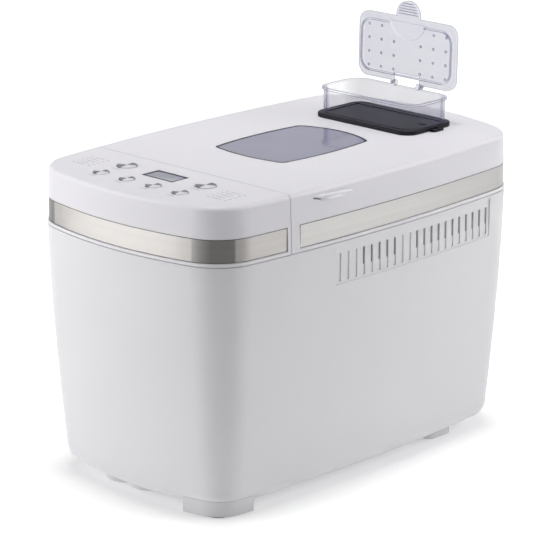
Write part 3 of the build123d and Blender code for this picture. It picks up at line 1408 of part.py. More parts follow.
with BuildPart() as dispenser_solenoid:
    with Locations((solenoid_x, catch_y, plate_z - solenoid_height / 2)):
        Box(solenoid_width, solenoid_length, solenoid_height)
    with Locations((solenoid_x - solenoid_width / 2, catch_y, plate_z - solenoid_height / 2)):
        Cylinder(PLUNGER_RADIUS, SOLENOID_OFFSET / 2, rotation=(0, 90, 0))
save(dispenser_solenoid.part, "dispenser_solenoid")

# Dispenser tray: black lip on the lid, open floor with pivots for the flap, skirt in the port
tray_top_z = top_z + TRAY_HEIGHT
tray_half_width = BOX_WIDTH / 2 + LIP_SIDE
tray_rear_y = box_rear_y + LIP_BEHIND
floor_rear_y = box_centre[1] + floor_length / 2
flap_z = top_z + FLAP_LIFT
flap_pivot_y = floor_rear_y - FLAP_GAP - FLAP_PIVOT_INSET
flap_pivot_z = flap_z + FLAP_THICKNESS / 2
catch_x = tray_half_width + CATCH_GAP
catch_z = top_z + CATCH_LIFT
tongue_tip_x = floor_width / 2 + TONGUE_SETBACK

with BuildPart() as dispenser_tray:
    with BuildSketch(Plane.XY.offset(top_z)):
        tray_centre = (0, middle(tray_front_y, tray_rear_y))
        add(rounded(2 * tray_half_width, tray_rear_y - tray_front_y, TRAY_CORNER, tray_centre))
    extrude(amount=TRAY_HEIGHT)
    fillet(dispenser_tray.edges().group_by(Axis.Z)[-1], TRAY_EDGE_RADIUS)
    with BuildSketch(Plane.XY.offset(top_z - SKIRT_DEPTH)):
        skirt_corner = FLOOR_CORNER + SKIRT_WALL
        add(rounded(tray_skirt_width, tray_skirt_length, skirt_corner, box_centre))
    extrude(amount=SKIRT_DEPTH)
    with BuildSketch(Plane.XY.offset(top_z - SKIRT_DEPTH)):
        add(rounded(floor_width, floor_length, FLOOR_CORNER, box_centre))
    extrude(amount=SKIRT_DEPTH + TRAY_HEIGHT, mode=Mode.SUBTRACT)
    with Locations((0, flap_pivot_y, flap_pivot_z)):
        pivot_span = floor_width + 2 * FLAP_PIN_LENGTH
        Cylinder(FLAP_PIN_RADIUS + RUNNING_FIT, pivot_span, rotation=(0, 90, 0), mode=Mode.SUBTRACT)
    with BuildSketch(Plane.XY.offset(top_z)):
        with Locations((tray_half_width, catch_y)):
            Rectangle(2 * CATCH_TRAVEL, CATCH_LENGTH + 2 * CATCH_GAP)
    extrude(amount=CATCH_HEIGHT + 2 * CATCH_LIFT, mode=Mode.SUBTRACT)
    with BuildSketch(Plane.XY.offset(top_z)):
        with Locations((middle(floor_width / 2, tray_half_width), catch_y)):
            Rectangle(tray_half_width - floor_width / 2, TONGUE_WIDTH + 2 * TONGUE_FIT)
    extrude(amount=CATCH_LIFT + TONGUE_THICKNESS + TONGUE_FIT, mode=Mode.SUBTRACT)
save(dispenser_tray.part, "dispenser_tray")

# Dispenser flap: floor plate that drops about its rear edge, with a finger hollow
flap_width = floor_width - 2 * FLAP_GAP
flap_length = floor_length - 2 * FLAP_GAP

with BuildPart() as dispenser_flap:
    with BuildSketch(Plane.XY.offset(flap_z)):
        add(rounded(flap_width, flap_length, FLOOR_CORNER - FLAP_GAP, box_centre))
        with Locations((floor_width / 2, flap_pivot_y)):
            Rectangle(2 * FLOOR_CORNER, 2 * FLAP_PIVOT_INSET, mode=Mode.SUBTRACT)
        with Locations((-floor_width / 2, flap_pivot_y)):
            Rectangle(2 * FLOOR_CORNER, 2 * FLAP_PIVOT_INSET, mode=Mode.SUBTRACT)
    extrude(amount=FLAP_THICKNESS)
    with BuildSketch(Plane.XY.offset(flap_z + FLAP_THICKNESS)):
        with Locations((flap_width / 2 - HOLLOW_MARGIN - HOLLOW_LENGTH / 2, catch_y)):
            SlotOverall(HOLLOW_LENGTH, HOLLOW_WIDTH)
    extrude(amount=-HOLLOW_DEPTH, mode=Mode.SUBTRACT)
    with Locations((0, flap_pivot_y, flap_pivot_z)):
        pin_span = floor_width + 2 * (FLAP_PIN_LENGTH - FLAP_GAP)
        Cylinder(FLAP_PIN_RADIUS, pin_span, rotation=(0, 90, 0))
save(dispenser_flap.part, "dispenser_flap")

# Flap catch: thumb block that slides in under the tray's edge, with a tongue that then
# reaches under the flap
catch_middle_x = catch_x + CATCH_WIDTH / 2
tongue_length = catch_middle_x - tongue_tip_x

with BuildPart() as flap_catch:
    with Locations((catch_middle_x, catch_y, catch_z + CATCH_HEIGHT / 2)):
        Box(CATCH_WIDTH, CATCH_LENGTH, CATCH_HEIGHT)
    with Locations((catch_middle_x, catch_y, catch_z + CATCH_HEIGHT)):
        Box(CATCH_WIDTH, CATCH_GROOVE, CATCH_HEIGHT / 2, mode=Mode.SUBTRACT)
    with Locations((middle(tongue_tip_x, catch_middle_x), catch_y, catch_z + TONGUE_THICKNESS / 2)):
        Box(tongue_length, TONGUE_WIDTH, TONGUE_THICKNESS)
save(flap_catch.part, "flap_catch")

# Clear dispenser box with a thin flange and two hinge lugs at the rear
box_top_z = tray_top_z + BOX_HEIGHT
pivot_y = box_rear_y + BOX_FLANGE + PIVOT_BEHIND
pivot_z = box_top_z + PIVOT_RISE
lug_pin_end = LUG_SPACING / 2 + LUG_WIDTH / 2 + LUG_GAP + LUG_WIDTH

with BuildPart() as dispenser_box:
    with BuildSketch(Plane.XY.offset(tray_top_z)):
        add(rounded(BOX_WIDTH, BOX_DEPTH, BOX_CORNER, box_centre))
    extrude(amount=BOX_HEIGHT)
    with BuildSketch(Plane.XY.offset(box_top_z - BOX_FLANGE_THICKNESS)):
        flange_size = (BOX_WIDTH + 2 * BOX_FLANGE, BOX_DEPTH + 2 * BOX_FLANGE)
        add(rounded(*flange_size, BOX_CORNER + BOX_FLANGE, box_centre))
    extrude(amount=BOX_FLANGE_THICKNESS)
    with BuildSketch(Plane.XY.offset(tray_top_z)):
        add(rounded(BOX_WIDTH - 2 * BOX_WALL, BOX_DEPTH - 2 * BOX_WALL, BOX_CORNER - BOX_WALL, box_centre))
    extrude(amount=BOX_HEIGHT, mode=Mode.SUBTRACT)
    for side in (-1, 1):
        with BuildSketch(Plane.YZ.offset(side * LUG_SPACING / 2)):
            with Locations((pivot_y, pivot_z)):
                Circle(LUG_RADIUS)
                lug_back = PIVOT_BEHIND + BOX_FLANGE
                lug_fall = PIVOT_RISE + BOX_FLANGE_THICKNESS
                Rectangle(lug_back, lug_fall, align=(Align.MAX, Align.MAX))
        extrude(amount=LUG_WIDTH / 2, both=True)
        with Locations((side * middle(LUG_SPACING / 2, lug_pin_end), pivot_y, pivot_z)):
            Cylinder(LUG_PIN_RADIUS, lug_pin_end - LUG_SPACING / 2, rotation=(0, 90, 0))
save(dispenser_box.part, "dispenser_box")

# Clear lid, drawn on its own leaning plane: local Y runs up the lid, the normal faces forward
lean = radians(CLEAR_LID_LEAN)
inner_face = PIVOT_RISE - CLEAR_LID_SEAT
outer_face = inner_face - CLEAR_LID_THICKNESS
lid_plane = Plane(
    origin=(0, pivot_y, pivot_z),
    x_dir=(1, 0, 0),
    z_dir=(0, -cos(lean), sin(lean)),
)
clear_top = CLEAR_LID_START + CLEAR_LID_HEIGHT
rib_low = pivot_y - box_rear_y + BOX_WALL + RIB_GAP
rib_high = pivot_y - box_front_y - BOX_WALL - RIB_GAP
rib_outer_width = BOX_WIDTH - 2 * (BOX_WALL + RIB_GAP)
rib_corner = BOX_CORNER - BOX_WALL - RIB_GAP
rib_centre = (0, middle(rib_low, rib_high))
knuckle_low_x = LUG_SPACING / 2 + LUG_WIDTH / 2 + LUG_GAP
knuckle_x = knuckle_low_x + LUG_WIDTH / 2

with BuildPart() as dispenser_lid:
    with BuildSketch(lid_plane.offset(outer_face)):
        with Locations((0, CLEAR_LID_START + CLEAR_LID_HEIGHT / 2)):
            RectangleRounded(CLEAR_LID_WIDTH, CLEAR_LID_HEIGHT, CLEAR_LID_CORNER)
        with Locations((0, clear_top + TAB_RISE)):
            Circle(TAB_RADIUS)
        with Locations((0, CLEAR_LID_START)):
            cutout_width = 2 * (knuckle_low_x - LUG_GAP / 2)
            Rectangle(cutout_width, 2 * CUTOUT_HEIGHT, mode=Mode.SUBTRACT)
    extrude(amount=CLEAR_LID_THICKNESS)
    with BuildSketch(lid_plane.offset(inner_face)):
        add(rounded(rib_outer_width, rib_high - rib_low, rib_corner, rib_centre))
        inside_width = rib_outer_width - 2 * RIB_WIDTH
        inside_height = rib_high - rib_low - 2 * RIB_WIDTH
        add(rounded(inside_width, inside_height, rib_corner - RIB_WIDTH, rib_centre), mode=Mode.SUBTRACT)
    extrude(amount=RIB_HEIGHT)
    with BuildSketch(lid_plane.offset(inner_face - SCOOP_DEPTH)):
        with Locations((0, rib_high + SCOOP_RISE)):
            Circle(SCOOP_RADIUS)
        with Locations((0, rib_high + RIB_GAP)):
            below = (Align.CENTER, Align.MAX)
            Rectangle(2 * SCOOP_RADIUS, 2 * SCOOP_RADIUS, align=below, mode=Mode.INTERSECT)
    extrude(amount=SCOOP_DEPTH + RIB_HEIGHT, mode=Mode.SUBTRACT)
    for side in (-1, 1):
        with BuildSketch(Plane.YZ.offset(side * knuckle_x)):
            with Locations((pivot_y, pivot_z)):
                Circle(CLEAR_KNUCKLE_RADIUS)
        extrude(amount=LUG_WIDTH / 2, both=True)
        with BuildSketch(lid_plane.offset(outer_face)):
            with Locations((side * knuckle_x, CLEAR_KNUCKLE_RISE / 2)):
                Rectangle(LUG_WIDTH, CLEAR_KNUCKLE_RISE)
        extrude(amount=CLEAR_LID_THICKNESS)
        with Locations((side * knuckle_x, pivot_y, pivot_z)):
            hole_radius = LUG_PIN_RADIUS + RUNNING_FIT
            Cylinder(hole_radius, 2 * LUG_WIDTH, rotation=(0, 90, 0), mode=Mode.SUBTRACT)
save(dispenser_lid.part, "dispenser_lid")
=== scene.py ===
import json
import math

import bmesh
import bpy
from mathutils import Matrix, Vector


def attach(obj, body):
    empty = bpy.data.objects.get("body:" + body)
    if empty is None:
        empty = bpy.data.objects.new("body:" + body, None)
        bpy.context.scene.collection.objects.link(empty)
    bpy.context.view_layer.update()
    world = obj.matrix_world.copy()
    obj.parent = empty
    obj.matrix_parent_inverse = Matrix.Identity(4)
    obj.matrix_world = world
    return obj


# Looks of the bread machine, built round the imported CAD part. Metres, +Z up, -Y the front.
MM = 0.001

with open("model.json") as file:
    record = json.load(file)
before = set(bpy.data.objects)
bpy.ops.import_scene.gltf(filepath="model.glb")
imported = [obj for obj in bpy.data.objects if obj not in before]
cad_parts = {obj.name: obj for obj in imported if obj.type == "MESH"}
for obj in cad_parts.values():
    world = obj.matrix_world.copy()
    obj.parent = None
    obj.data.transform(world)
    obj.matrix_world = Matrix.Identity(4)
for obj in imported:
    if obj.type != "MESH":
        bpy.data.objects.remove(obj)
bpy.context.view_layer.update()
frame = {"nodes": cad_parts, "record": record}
nodes = frame["nodes"]

# The painted reflection wedges on the turned buttons lie 63 degrees from the X axis
REFLECTION_WEDGE_TURN = math.radians(-63)
REFLECTION_WEDGE_EDGES = (-0.1, 0.5)
# Steel band: a painted dark reflection at the front corners. The share of its colour that it keeps there,
# and how far the surface faces sideways (the X of its normal) where that painted darkening begins, ends,
# and begins at the left
PAINTED_CORNER_SHARE = 0.5
PAINTED_CORNER_BEGINS = (0.31, 0.6)
PAINTED_CORNER_ENDS = (0.895, 0.915)
PAINTED_CORNER_BEGINS_LEFT = (-0.3, -0.24)
# Housing: painted shade near the table. The share of its colour that it keeps at the table, and the
# heights it fades between
PAINTED_TABLE_SHADE = 0.86
PAINTED_TABLE_FADE = (0.01, 0.22)
# Dispenser box: a painted reflection on its rear wall, which is made more opaque. The opacity of its rear
# wall, and the places along Y it rises between
REAR_REFLECTION_OPACITY = 0.2
REAR_REFLECTION_FADE = (0.14, 0.168)
# Edge rounding seen by the clear plastics
CLEAR_EDGE = 0.0014


# Shader helpers ---------------------------------------------------------------

def shader_node(tree, kind, inputs=None, **settings):
    """A new shader node: settings are its properties, and inputs are values or sockets."""
    made = tree.nodes.new(kind)
    for key, value in settings.items():
        setattr(made, key, value)
    for key, value in (inputs or {}).items():
        if isinstance(value, bpy.types.NodeSocket):
            tree.links.new(value, made.inputs[key])
        else:
            made.inputs[key].default_value = value
    return made


def object_place(tree, stretch=(1, 1, 1)):
    """Object coordinates, scaled along each axis."""
    place = shader_node(tree, "ShaderNodeTexCoord")
    inputs = {"Vector": place.outputs["Object"], "Scale": stretch}
    return shader_node(tree, "ShaderNodeMapping", inputs).outputs["Vector"]


def noise(tree, scale, detail=3.0, stretch=(1, 1, 1)):
    inputs = {"Vector": object_place(tree, stretch), "Scale": scale, "Detail": detail}
    return shader_node(tree, "ShaderNodeTexNoise", inputs).outputs["Fac"]


def colour_between(tree, factor, low, high, ends=(0.2, 0.8)):
    ramp = shader_node(tree, "ShaderNodeValToRGB", {"Fac": factor})
    for element, colour, place in zip(ramp.color_ramp.elements, (low, high), ends):
        element.position = place
        element.color = (*colour, 1)
    return ramp.outputs["Color"]


def value_between(tree, factor, low, high, ends=(0.2, 0.8)):
    inputs = {"Value": factor, "From Min": ends[0], "From Max": ends[1],
              "To Min": low, "To Max": high}
    return shader_node(tree, "ShaderNodeMapRange", inputs).outputs["Result"]


def soft_normal(tree, grain, depth, edge):
    """The surface normal with rounded edges and a fine grain on it."""
    inputs = {"Height": grain, "Strength": 1.0, "Distance": depth}
    if edge:
        rounded = shader_node(tree, "ShaderNodeBevel", {"Radius": edge}, samples=6)
        inputs["Normal"] = rounded.outputs["Normal"]
    return shader_node(tree, "ShaderNodeBump", inputs).outputs["Normal"]


def new_material(name):
    made = bpy.data.materials.new(name)
    made.use_nodes = True
    return made, made.node_tree, made.node_tree.nodes["Principled BSDF"]


def surface(name, low, high, roughness, cloud=14.0, grain=900.0, depth=2e-5, edge=0.0,
            stretch=(1, 1, 1), **fixed):
    """A material whose colour and roughness wander between two values, with a grain bump."""
    made, tree, shader = new_material(name)
    patches = noise(tree, cloud, stretch=stretch)
    fine = noise(tree, grain, 2.0, stretch)
    tree.links.new(colour_between(tree, patches, low, high), shader.inputs["Base Color"])
    tree.links.new(value_between(tree, patches, *roughness), shader.inputs["Roughness"])
    tree.links.new(soft_normal(tree, fine, depth, edge), shader.inputs["Normal"])
    for key, value in fixed.items():
        shader.inputs[key.replace("_", " ")].default_value = value
    return made


def clear_surface(name, low, high, opacity, roughness, turns=(0.1, 0.8)):
    """A see-through plastic: it shows more of its own colour at edges and where it turns away."""
    made = surface(name, low, high, roughness, cloud=30.0, depth=4e-6, edge=0.0006,
                   IOR=1.46, Specular_IOR_Level=0.5)
    tree = made.node_tree
    rounded = shader_node(tree, "ShaderNodeBevel", {"Radius": CLEAR_EDGE}, samples=8)
    inputs = {"Blend": 0.4, "Normal": rounded.outputs["Normal"]}
    facing = shader_node(tree, "ShaderNodeLayerWeight", inputs).outputs["Facing"]
    seen = value_between(tree, facing, *opacity, ends=turns)
    tree.links.new(seen, tree.nodes["Principled BSDF"].inputs["Alpha"])
    return made


def lined_metal(name, low, high, roughness, **settings):
    """Metal with fine lines that run round the piece's own upright axis."""
    made = surface(name, low, high, roughness, Anisotropic_Rotation=0.25, **settings)
    tree = made.node_tree
    lines = shader_node(tree, "ShaderNodeTangent", direction_type="RADIAL", axis="Z")
    tree.links.new(lines.outputs["Tangent"], tree.nodes["Principled BSDF"].inputs["Tangent"])
    return made


def spun_metal_painted_reflection():
    """Turned metal discs: the turning lines' reflection is painted in as two dark and two pale wedges."""
    made = lined_metal("spun_metal_painted_reflection", (0.9, 0.9, 0.92), (0.94, 0.94, 0.96), (0.34, 0.4),
                       cloud=300.0, grain=2600.0, depth=1e-6, edge=0.0004, Metallic=0.2,
                       Anisotropic=0.7)
    tree = made.node_tree
    # Painted reflection: the angle round the disc's middle picks pale and dark wedges of colour
    place = shader_node(tree, "ShaderNodeTexCoord").outputs["Generated"]
    middle = shader_node(tree, "ShaderNodeVectorMath", {0: place, 1: (0.5, 0.5, 0.5)},
                         operation="SUBTRACT").outputs["Vector"]
    turned = shader_node(tree, "ShaderNodeMapping", {"Vector": middle, "Rotation": (0, 0, REFLECTION_WEDGE_TURN)})
    round_share = shader_node(tree, "ShaderNodeTexGradient", {"Vector": turned.outputs["Vector"]},
                              gradient_type="RADIAL").outputs["Fac"]
    angle = shader_node(tree, "ShaderNodeMath", {0: round_share, 1: 4 * math.pi}, operation="MULTIPLY")
    wave = shader_node(tree, "ShaderNodeMath", {0: angle.outputs["Value"]}, operation="COSINE")
    share = value_between(tree, wave.outputs["Value"], 0.0, 1.0, REFLECTION_WEDGE_EDGES)
    tree.links.new(colour_between(tree, share, (0.93, 0.93, 0.95), (0.22, 0.22, 0.24), (0.1, 0.9)),
                   tree.nodes["Principled BSDF"].inputs["Base Color"])
    return made


def brushed_metal(name, low, high):
    """The trim band: steel brushed along its length."""
    return lined_metal(name, low, high, (0.33, 0.37),
                       cloud=90.0, grain=900.0, depth=4e-7, stretch=(0.03, 0.03, 3.0),
                       Metallic=1.0, Anisotropic=0.9)


def box_plastic_painted_reflection():
    """The dispenser box's clear plastic, with a painted reflection: more opaque, and so more tinted, at
    its rear wall.
    """
    made = clear_surface("clear_box_painted_reflection", (0.17, 0.17, 0.34), (0.21, 0.21, 0.38), (0.05, 0.75), (0.06, 0.1),
                         turns=(0.27, 0.9))
    tree = made.node_tree
    alpha = tree.nodes["Principled BSDF"].inputs["Alpha"]
    depth = shader_node(tree, "ShaderNodeSeparateXYZ", {"Vector": object_place(tree)}).outputs["Y"]
    rear = value_between(tree, depth, 0.0, REAR_REFLECTION_OPACITY, REAR_REFLECTION_FADE)
    inputs = {0: alpha.links[0].from_socket, 1: rear}
    most = shader_node(tree, "ShaderNodeMath", inputs, operation="MAXIMUM").outputs["Value"]
    tree.links.new(most, alpha)
    return made


def shade_base(tree, share):
    """Darken a finished surface's colour to a share of itself."""
    base = tree.nodes["Principled BSDF"].inputs["Base Color"]
    inputs = {"Vector": base.links[0].from_socket, "Scale": share}
    shaded = shader_node(tree, "ShaderNodeVectorMath", inputs, operation="SCALE")
    tree.links.new(shaded.outputs["Vector"], base)


def display_face():
    """The display: grey-blue, paler towards its right front corner."""
    made, tree, shader = new_material("display_face")
    place = shader_node(tree, "ShaderNodeTexCoord").outputs["Generated"]
    split = shader_node(tree, "ShaderNodeSeparateXYZ", {"Vector": place})
    fall = shader_node(tree, "ShaderNodeMath", {0: split.outputs["X"], 1: split.outputs["Y"]},
                       operation="SUBTRACT").outputs["Value"]
    tree.links.new(colour_between(tree, fall, (0.32, 0.33, 0.40), (0.50, 0.52, 0.58), (-0.6, 0.8)),
                   shader.inputs["Base Color"])
    tree.links.new(value_between(tree, noise(tree, 400.0), 0.12, 0.2), shader.inputs["Roughness"])
    return made


def base_band_painted_reflection():
    """The panel's steel band, with a painted dark reflection where it turns the front corners."""
    made = brushed_metal("brushed_steel_painted_reflection", (0.505, 0.485, 0.467), (0.555, 0.535, 0.517))
    tree = made.node_tree
    facing = shader_node(tree, "ShaderNodeTexCoord").outputs["Normal"]
    across = shader_node(tree, "ShaderNodeSeparateXYZ", {"Vector": facing}).outputs["X"]
    sideways = shader_node(tree, "ShaderNodeMath", {0: across}, operation="ABSOLUTE").outputs["Value"]
    into = value_between(tree, sideways, 1.0, PAINTED_CORNER_SHARE, PAINTED_CORNER_BEGINS)
    out_of = value_between(tree, sideways, PAINTED_CORNER_SHARE, 1.0, PAINTED_CORNER_ENDS)
    left = value_between(tree, across, PAINTED_CORNER_SHARE, 1.0, PAINTED_CORNER_BEGINS_LEFT)
    corner = shader_node(tree, "ShaderNodeMath", {0: into, 1: left}, operation="MINIMUM").outputs["Value"]
    share = shader_node(tree, "ShaderNodeMath", {0: corner, 1: out_of}, operation="MAXIMUM")
    shade_base(tree, share.outputs["Value"])
    return made


def shell_white_painted_shade():
    """The housing's satin white, with painted shade: a little darker towards the table."""
    made = surface("satin_shell_painted_shade", (0.825, 0.815, 0.84), (0.835, 0.825, 0.85), (0.4, 0.44),
                   grain=240.0, depth=4e-7, edge=0.0008)
    tree = made.node_tree
    height = shader_node(tree, "ShaderNodeSeparateXYZ", {"Vector": object_place(tree)}).outputs["Z"]
    shade_base(tree, value_between(tree, height, PAINTED_TABLE_SHADE, 1.0, PAINTED_TABLE_FADE))
    return made


# Materials of the CAD pieces --------------------------------------------------

FINISHES = {
    "white_shell": shell_white_painted_shade(),
    "grey_plastic": surface("grey_plastic", (0.40, 0.40, 0.42), (0.47, 0.47, 0.49), (0.45, 0.6),
                            edge=0.0005),
    "trim_steel": base_band_painted_reflection(),
    "button_metal": spun_metal_painted_reflection(),
    "window_tint": surface("window_tint", (0.24, 0.24, 0.36), (0.28, 0.28, 0.40), (0.06, 0.09),
                           depth=1e-7, Alpha=0.92, Coat_Weight=0.4, Coat_Roughness=0.03),
    "clear_glass": clear_surface("clear_glass", (0.78, 0.82, 0.84), (0.84, 0.87, 0.88),
                                 (0.12, 0.5), (0.03, 0.06)),
    "display_glass": display_face(),
    "display_dark": surface("display_dark", (0.06, 0.06, 0.07), (0.09, 0.09, 0.1), (0.4, 0.55)),
    "circuit_board": surface("circuit_board", (0.03, 0.12, 0.06), (0.06, 0.2, 0.1), (0.4, 0.55),
                             cloud=120.0),
    "clear_plastic": clear_surface("clear_plastic", (0.10, 0.10, 0.20), (0.14, 0.14, 0.25),
                                   (0.06, 0.75), (0.06, 0.1)),
    "black_plastic": surface("gloss_black", (0.010, 0.009, 0.014), (0.016, 0.015, 0.021),
                             (0.28, 0.34), edge=0.0005, depth=4e-6, IOR=1.25),
    "white_inner": surface("satin_white", (0.72, 0.72, 0.72), (0.78, 0.78, 0.78), (0.42, 0.55),
                           edge=0.0006),
    "liner_metal": surface("liner_metal", (0.52, 0.52, 0.53), (0.62, 0.62, 0.63), (0.3, 0.44),
                           cloud=24.0, Metallic=1.0),
    "rubber": surface("rubber", (0.02, 0.02, 0.02), (0.04, 0.04, 0.04), (0.7, 0.85), depth=6e-5),
    "sheet_steel": surface("sheet_steel", (0.5, 0.5, 0.51), (0.62, 0.62, 0.63), (0.34, 0.48),
                           cloud=40.0, Metallic=1.0),
    "cast_alloy": surface("cast_alloy", (0.46, 0.46, 0.48), (0.56, 0.56, 0.58), (0.45, 0.6),
                          grain=500.0, depth=8e-5, edge=0.0006, Metallic=1.0),
    "bearing_brass": surface("bearing_brass", (0.62, 0.46, 0.2), (0.74, 0.58, 0.3), (0.3, 0.42),
                             Metallic=1.0),
    "coated_alloy": surface("non_stick", (0.05, 0.05, 0.055), (0.09, 0.09, 0.1), (0.38, 0.52),
                            cloud=420.0, grain=1400.0, depth=2e-5, edge=0.0008),
}


def dress(node, finish):
    """Put one finish in all the material slots of a CAD piece."""
    slots = nodes[node].data.materials
    for index in range(len(slots)):
        slots[index] = finish


for subpart in frame["record"]["subparts"]:
    dress(subpart["node"], FINISHES[subpart["material_slot"]])

# Painted light: the upper shells and the lid's band get lit copies of their materials, a little lighter
# than the pieces below and before them. The clear lid is tinted more than the box
LID_STEEL_PAINTED_LIGHTER = brushed_metal("lid_steel_painted_lighter", (0.565, 0.55, 0.535), (0.615, 0.60, 0.585))
WHITE_PAINTED_LIGHTER = surface("white_painted_lighter", (0.875, 0.858, 0.895), (0.885, 0.868, 0.905), (0.4, 0.44),
                      grain=240.0, depth=4e-7, edge=0.0008)
CLEAR_LID = clear_surface("clear_lid", (0.12, 0.12, 0.34), (0.16, 0.16, 0.39), (0.13, 0.75), (0.06, 0.1))
CLEAR_BOX = box_plastic_painted_reflection()
for node, finish in (("lid_shell", WHITE_PAINTED_LIGHTER), ("front_top_cover", WHITE_PAINTED_LIGHTER),
                     ("dispenser_lid", CLEAR_LID), ("dispenser_box", CLEAR_BOX),
                     ("lid_trim_band", LID_STEEL_PAINTED_LIGHTER)):
    dress(node, finish)

PRINT_GREY = surface("print_grey", (0.46, 0.46, 0.50), (0.52, 0.52, 0.56), (0.4, 0.5))
BORDER_DARK = surface("border_dark", (0.045, 0.045, 0.055), (0.065, 0.065, 0.075), (0.7, 0.8),
                      Specular_IOR_Level=0.1)
# Painted shadow: a dark finish for strips put where shade falls, round the trim band and under the thumb
# lips
PAINTED_SHADOW_DARK = surface("painted_shadow_dark", (0.09, 0.085, 0.085), (0.13, 0.125, 0.125), (0.5, 0.65))


# Pieces made in mesh code -----------------------------------------------------

def add_piece(name, build, body, finish, smooth=False):
    """One mesh piece, given in millimetres, that rides on a CAD body."""
    shape = bmesh.new()
    build(shape)
    bmesh.ops.recalc_face_normals(shape, faces=shape.faces)
    mesh = bpy.data.meshes.new(name)
    shape.to_mesh(mesh)
    shape.free()
    mesh.transform(Matrix.Scale(MM, 4))
    mesh.materials.append(finish)
    for polygon in mesh.polygons:
        polygon.use_smooth = smooth
    piece = bpy.data.objects.new(name, mesh)
    bpy.context.scene.collection.objects.link(piece)
    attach(piece, body)


def bridge(shape, loops, closed):
    """Faces between neighbouring loops of points; a closed row joins the last to the first."""
    rows = [[shape.verts.new(point) for point in loop] for loop in loops]
    count = len(rows[0])
    pairs = list(zip(rows, rows[1:] + rows[:1])) if closed else list(zip(rows, rows[1:]))
    for lower, upper in pairs:
        for index in range(count):
            after = (index + 1) % count
            shape.faces.new((lower[index], lower[after], upper[after], upper[index]))
    return rows


def add_capped(shape, loops):
    """A closed form through loops of points, with a face over each end."""
    rows = bridge(shape, loops, closed=False)
    shape.faces.new(rows[-1])
    shape.faces.new(list(reversed(rows[0])))


def add_ring(shape, outer, inner, bottom, top):
    """A flat ring between two outlines of the same number of points, with a rounded top."""
    def level(outline, height):
        return [(x, y, height) for x, y in outline]
    shoulder = top - 0.35 * (top - bottom)
    crown = [tuple(a + 0.5 * (b - a) for a, b in zip(p, q)) for p, q in zip(outer, inner)]
    bridge(shape, [level(outer, bottom), level(outer, shoulder), level(crown, top),
                   level(inner, shoulder), level(inner, bottom)], closed=True)


def add_slab(shape, outline, bottom, top, soften):
    """A low plate over an outline, with its top edge drawn in by soften."""
    middle = [sum(axis) / len(outline) for axis in zip(*outline)]

    def drawn(amount):
        points = []
        for x, y in outline:
            reach = math.hypot(x - middle[0], y - middle[1])
            share = (reach - amount) / reach
            points.append((middle[0] + (x - middle[0]) * share, middle[1] + (y - middle[1]) * share))
        return points
    loops = [[(x, y, bottom) for x, y in outline],
             [(x, y, top - 0.5 * (top - bottom)) for x, y in outline],
             [(x, y, top) for x, y in drawn(soften)]]
    add_capped(shape, loops)


def bowed_outline(half_width, front, rear, bows, corner, grow, steps=12):
    """An outline of four bowed sides with round corners, grown outwards by grow."""
    side_bow, front_bow, rear_bow = bows
    x = half_width - corner - side_bow
    low = front + corner + front_bow
    high = rear - corner - rear_bow
    ends = [Vector((x, low)), Vector((x, high)), Vector((-x, high)), Vector((-x, low))]
    points = []
    turns = []
    for index, bow in enumerate((side_bow, rear_bow, side_bow, front_bow)):
        start, end = ends[index], ends[(index + 1) % 4]
        half_chord = (end - start).length / 2
        radius = (half_chord ** 2 + bow ** 2) / (2 * bow)
        along = (end - start).normalized()
        outward = Vector((along.y, -along.x))
        centre = (start + end) / 2 - outward * (radius - bow)
        sweep = math.asin(half_chord / radius)
        heading = math.atan2(outward.y, outward.x)
        turns.append((centre, radius, heading, sweep))
    for index, (centre, radius, heading, sweep) in enumerate(turns):
        for step in range(steps + 1):
            angle = heading - sweep + 2 * sweep * step / steps
            points.append(centre + (radius + corner + grow) * Vector((math.cos(angle), math.sin(angle))))
        pivot = ends[(index + 1) % 4]
        begin = heading + sweep
        finish = turns[(index + 1) % 4][2] - turns[(index + 1) % 4][3]
        turn = (finish - begin) % (2 * math.pi)
        for step in range(1, steps):
            angle = begin + turn * step / steps
            points.append(pivot + (corner + grow) * Vector((math.cos(angle), math.sin(angle))))
    return [(point.x, point.y) for point in points]


def rounded_rectangle(middle, width, length, corner, steps=5):
    points = []
    for turn, (right, up) in enumerate(((1, 1), (-1, 1), (-1, -1), (1, -1))):
        x = middle[0] + right * (width / 2 - corner)
        y = middle[1] + up * (length / 2 - corner)
        for step in range(steps + 1):
            angle = math.pi / 2 * (turn + step / steps)
            points.append((x + corner * math.cos(angle), y + corner * math.sin(angle)))
    return points


def circle(middle, radius, steps=48):
    return [(middle[0] + radius * math.cos(2 * math.pi * step / steps),
             middle[1] + radius * math.sin(2 * math.pi * step / steps)) for step in range(steps)]


def runs_between(outline, low, high):
    """The stretches of a closed outline that lie between two places along Y."""
    points = [Vector(point) for point in outline]
    start = next(i for i, point in enumerate(points) if not low <= point.y <= high)
    points = points[start:] + points[:start + 1]
    runs = []
    for before, after in zip(points, points[1:]):
        inside = [low <= point.y <= high for point in (before, after)]
        if inside[0] != inside[1]:
            edge = low if min(before.y, after.y) < low else high
            crossing = before.lerp(after, (edge - before.y) / (after.y - before.y))
            if inside[1]:
                runs.append([crossing])
            else:
                runs[-1].append(crossing)
        if inside[1]:
            runs[-1].append(after)
    return runs


def add_strip(shape, run, depth, bottom, top):
    """A strip that stands out by depth along a run of points."""
    stations = []
    for index, point in enumerate(run):
        along = run[min(index + 1, len(run) - 1)] - run[max(index - 1, 0)]
        outer = point + Vector((along.y, -along.x)).normalized() * depth
        stations.append([(point.x, point.y, bottom), (outer.x, outer.y, bottom),
                         (outer.x, outer.y, top), (point.x, point.y, top)])
    add_capped(shape, stations)


TOP_Z = 295.0
# How far small pieces sink into the surface that they lie on
SINK = 0.05

# Body's outline: half width, front, rear, bows of the sides, front and rear, and corner radius
PLAN = (132.0, -219.0, 219.0, (7.6, 9.4, 12.0), 46.0)

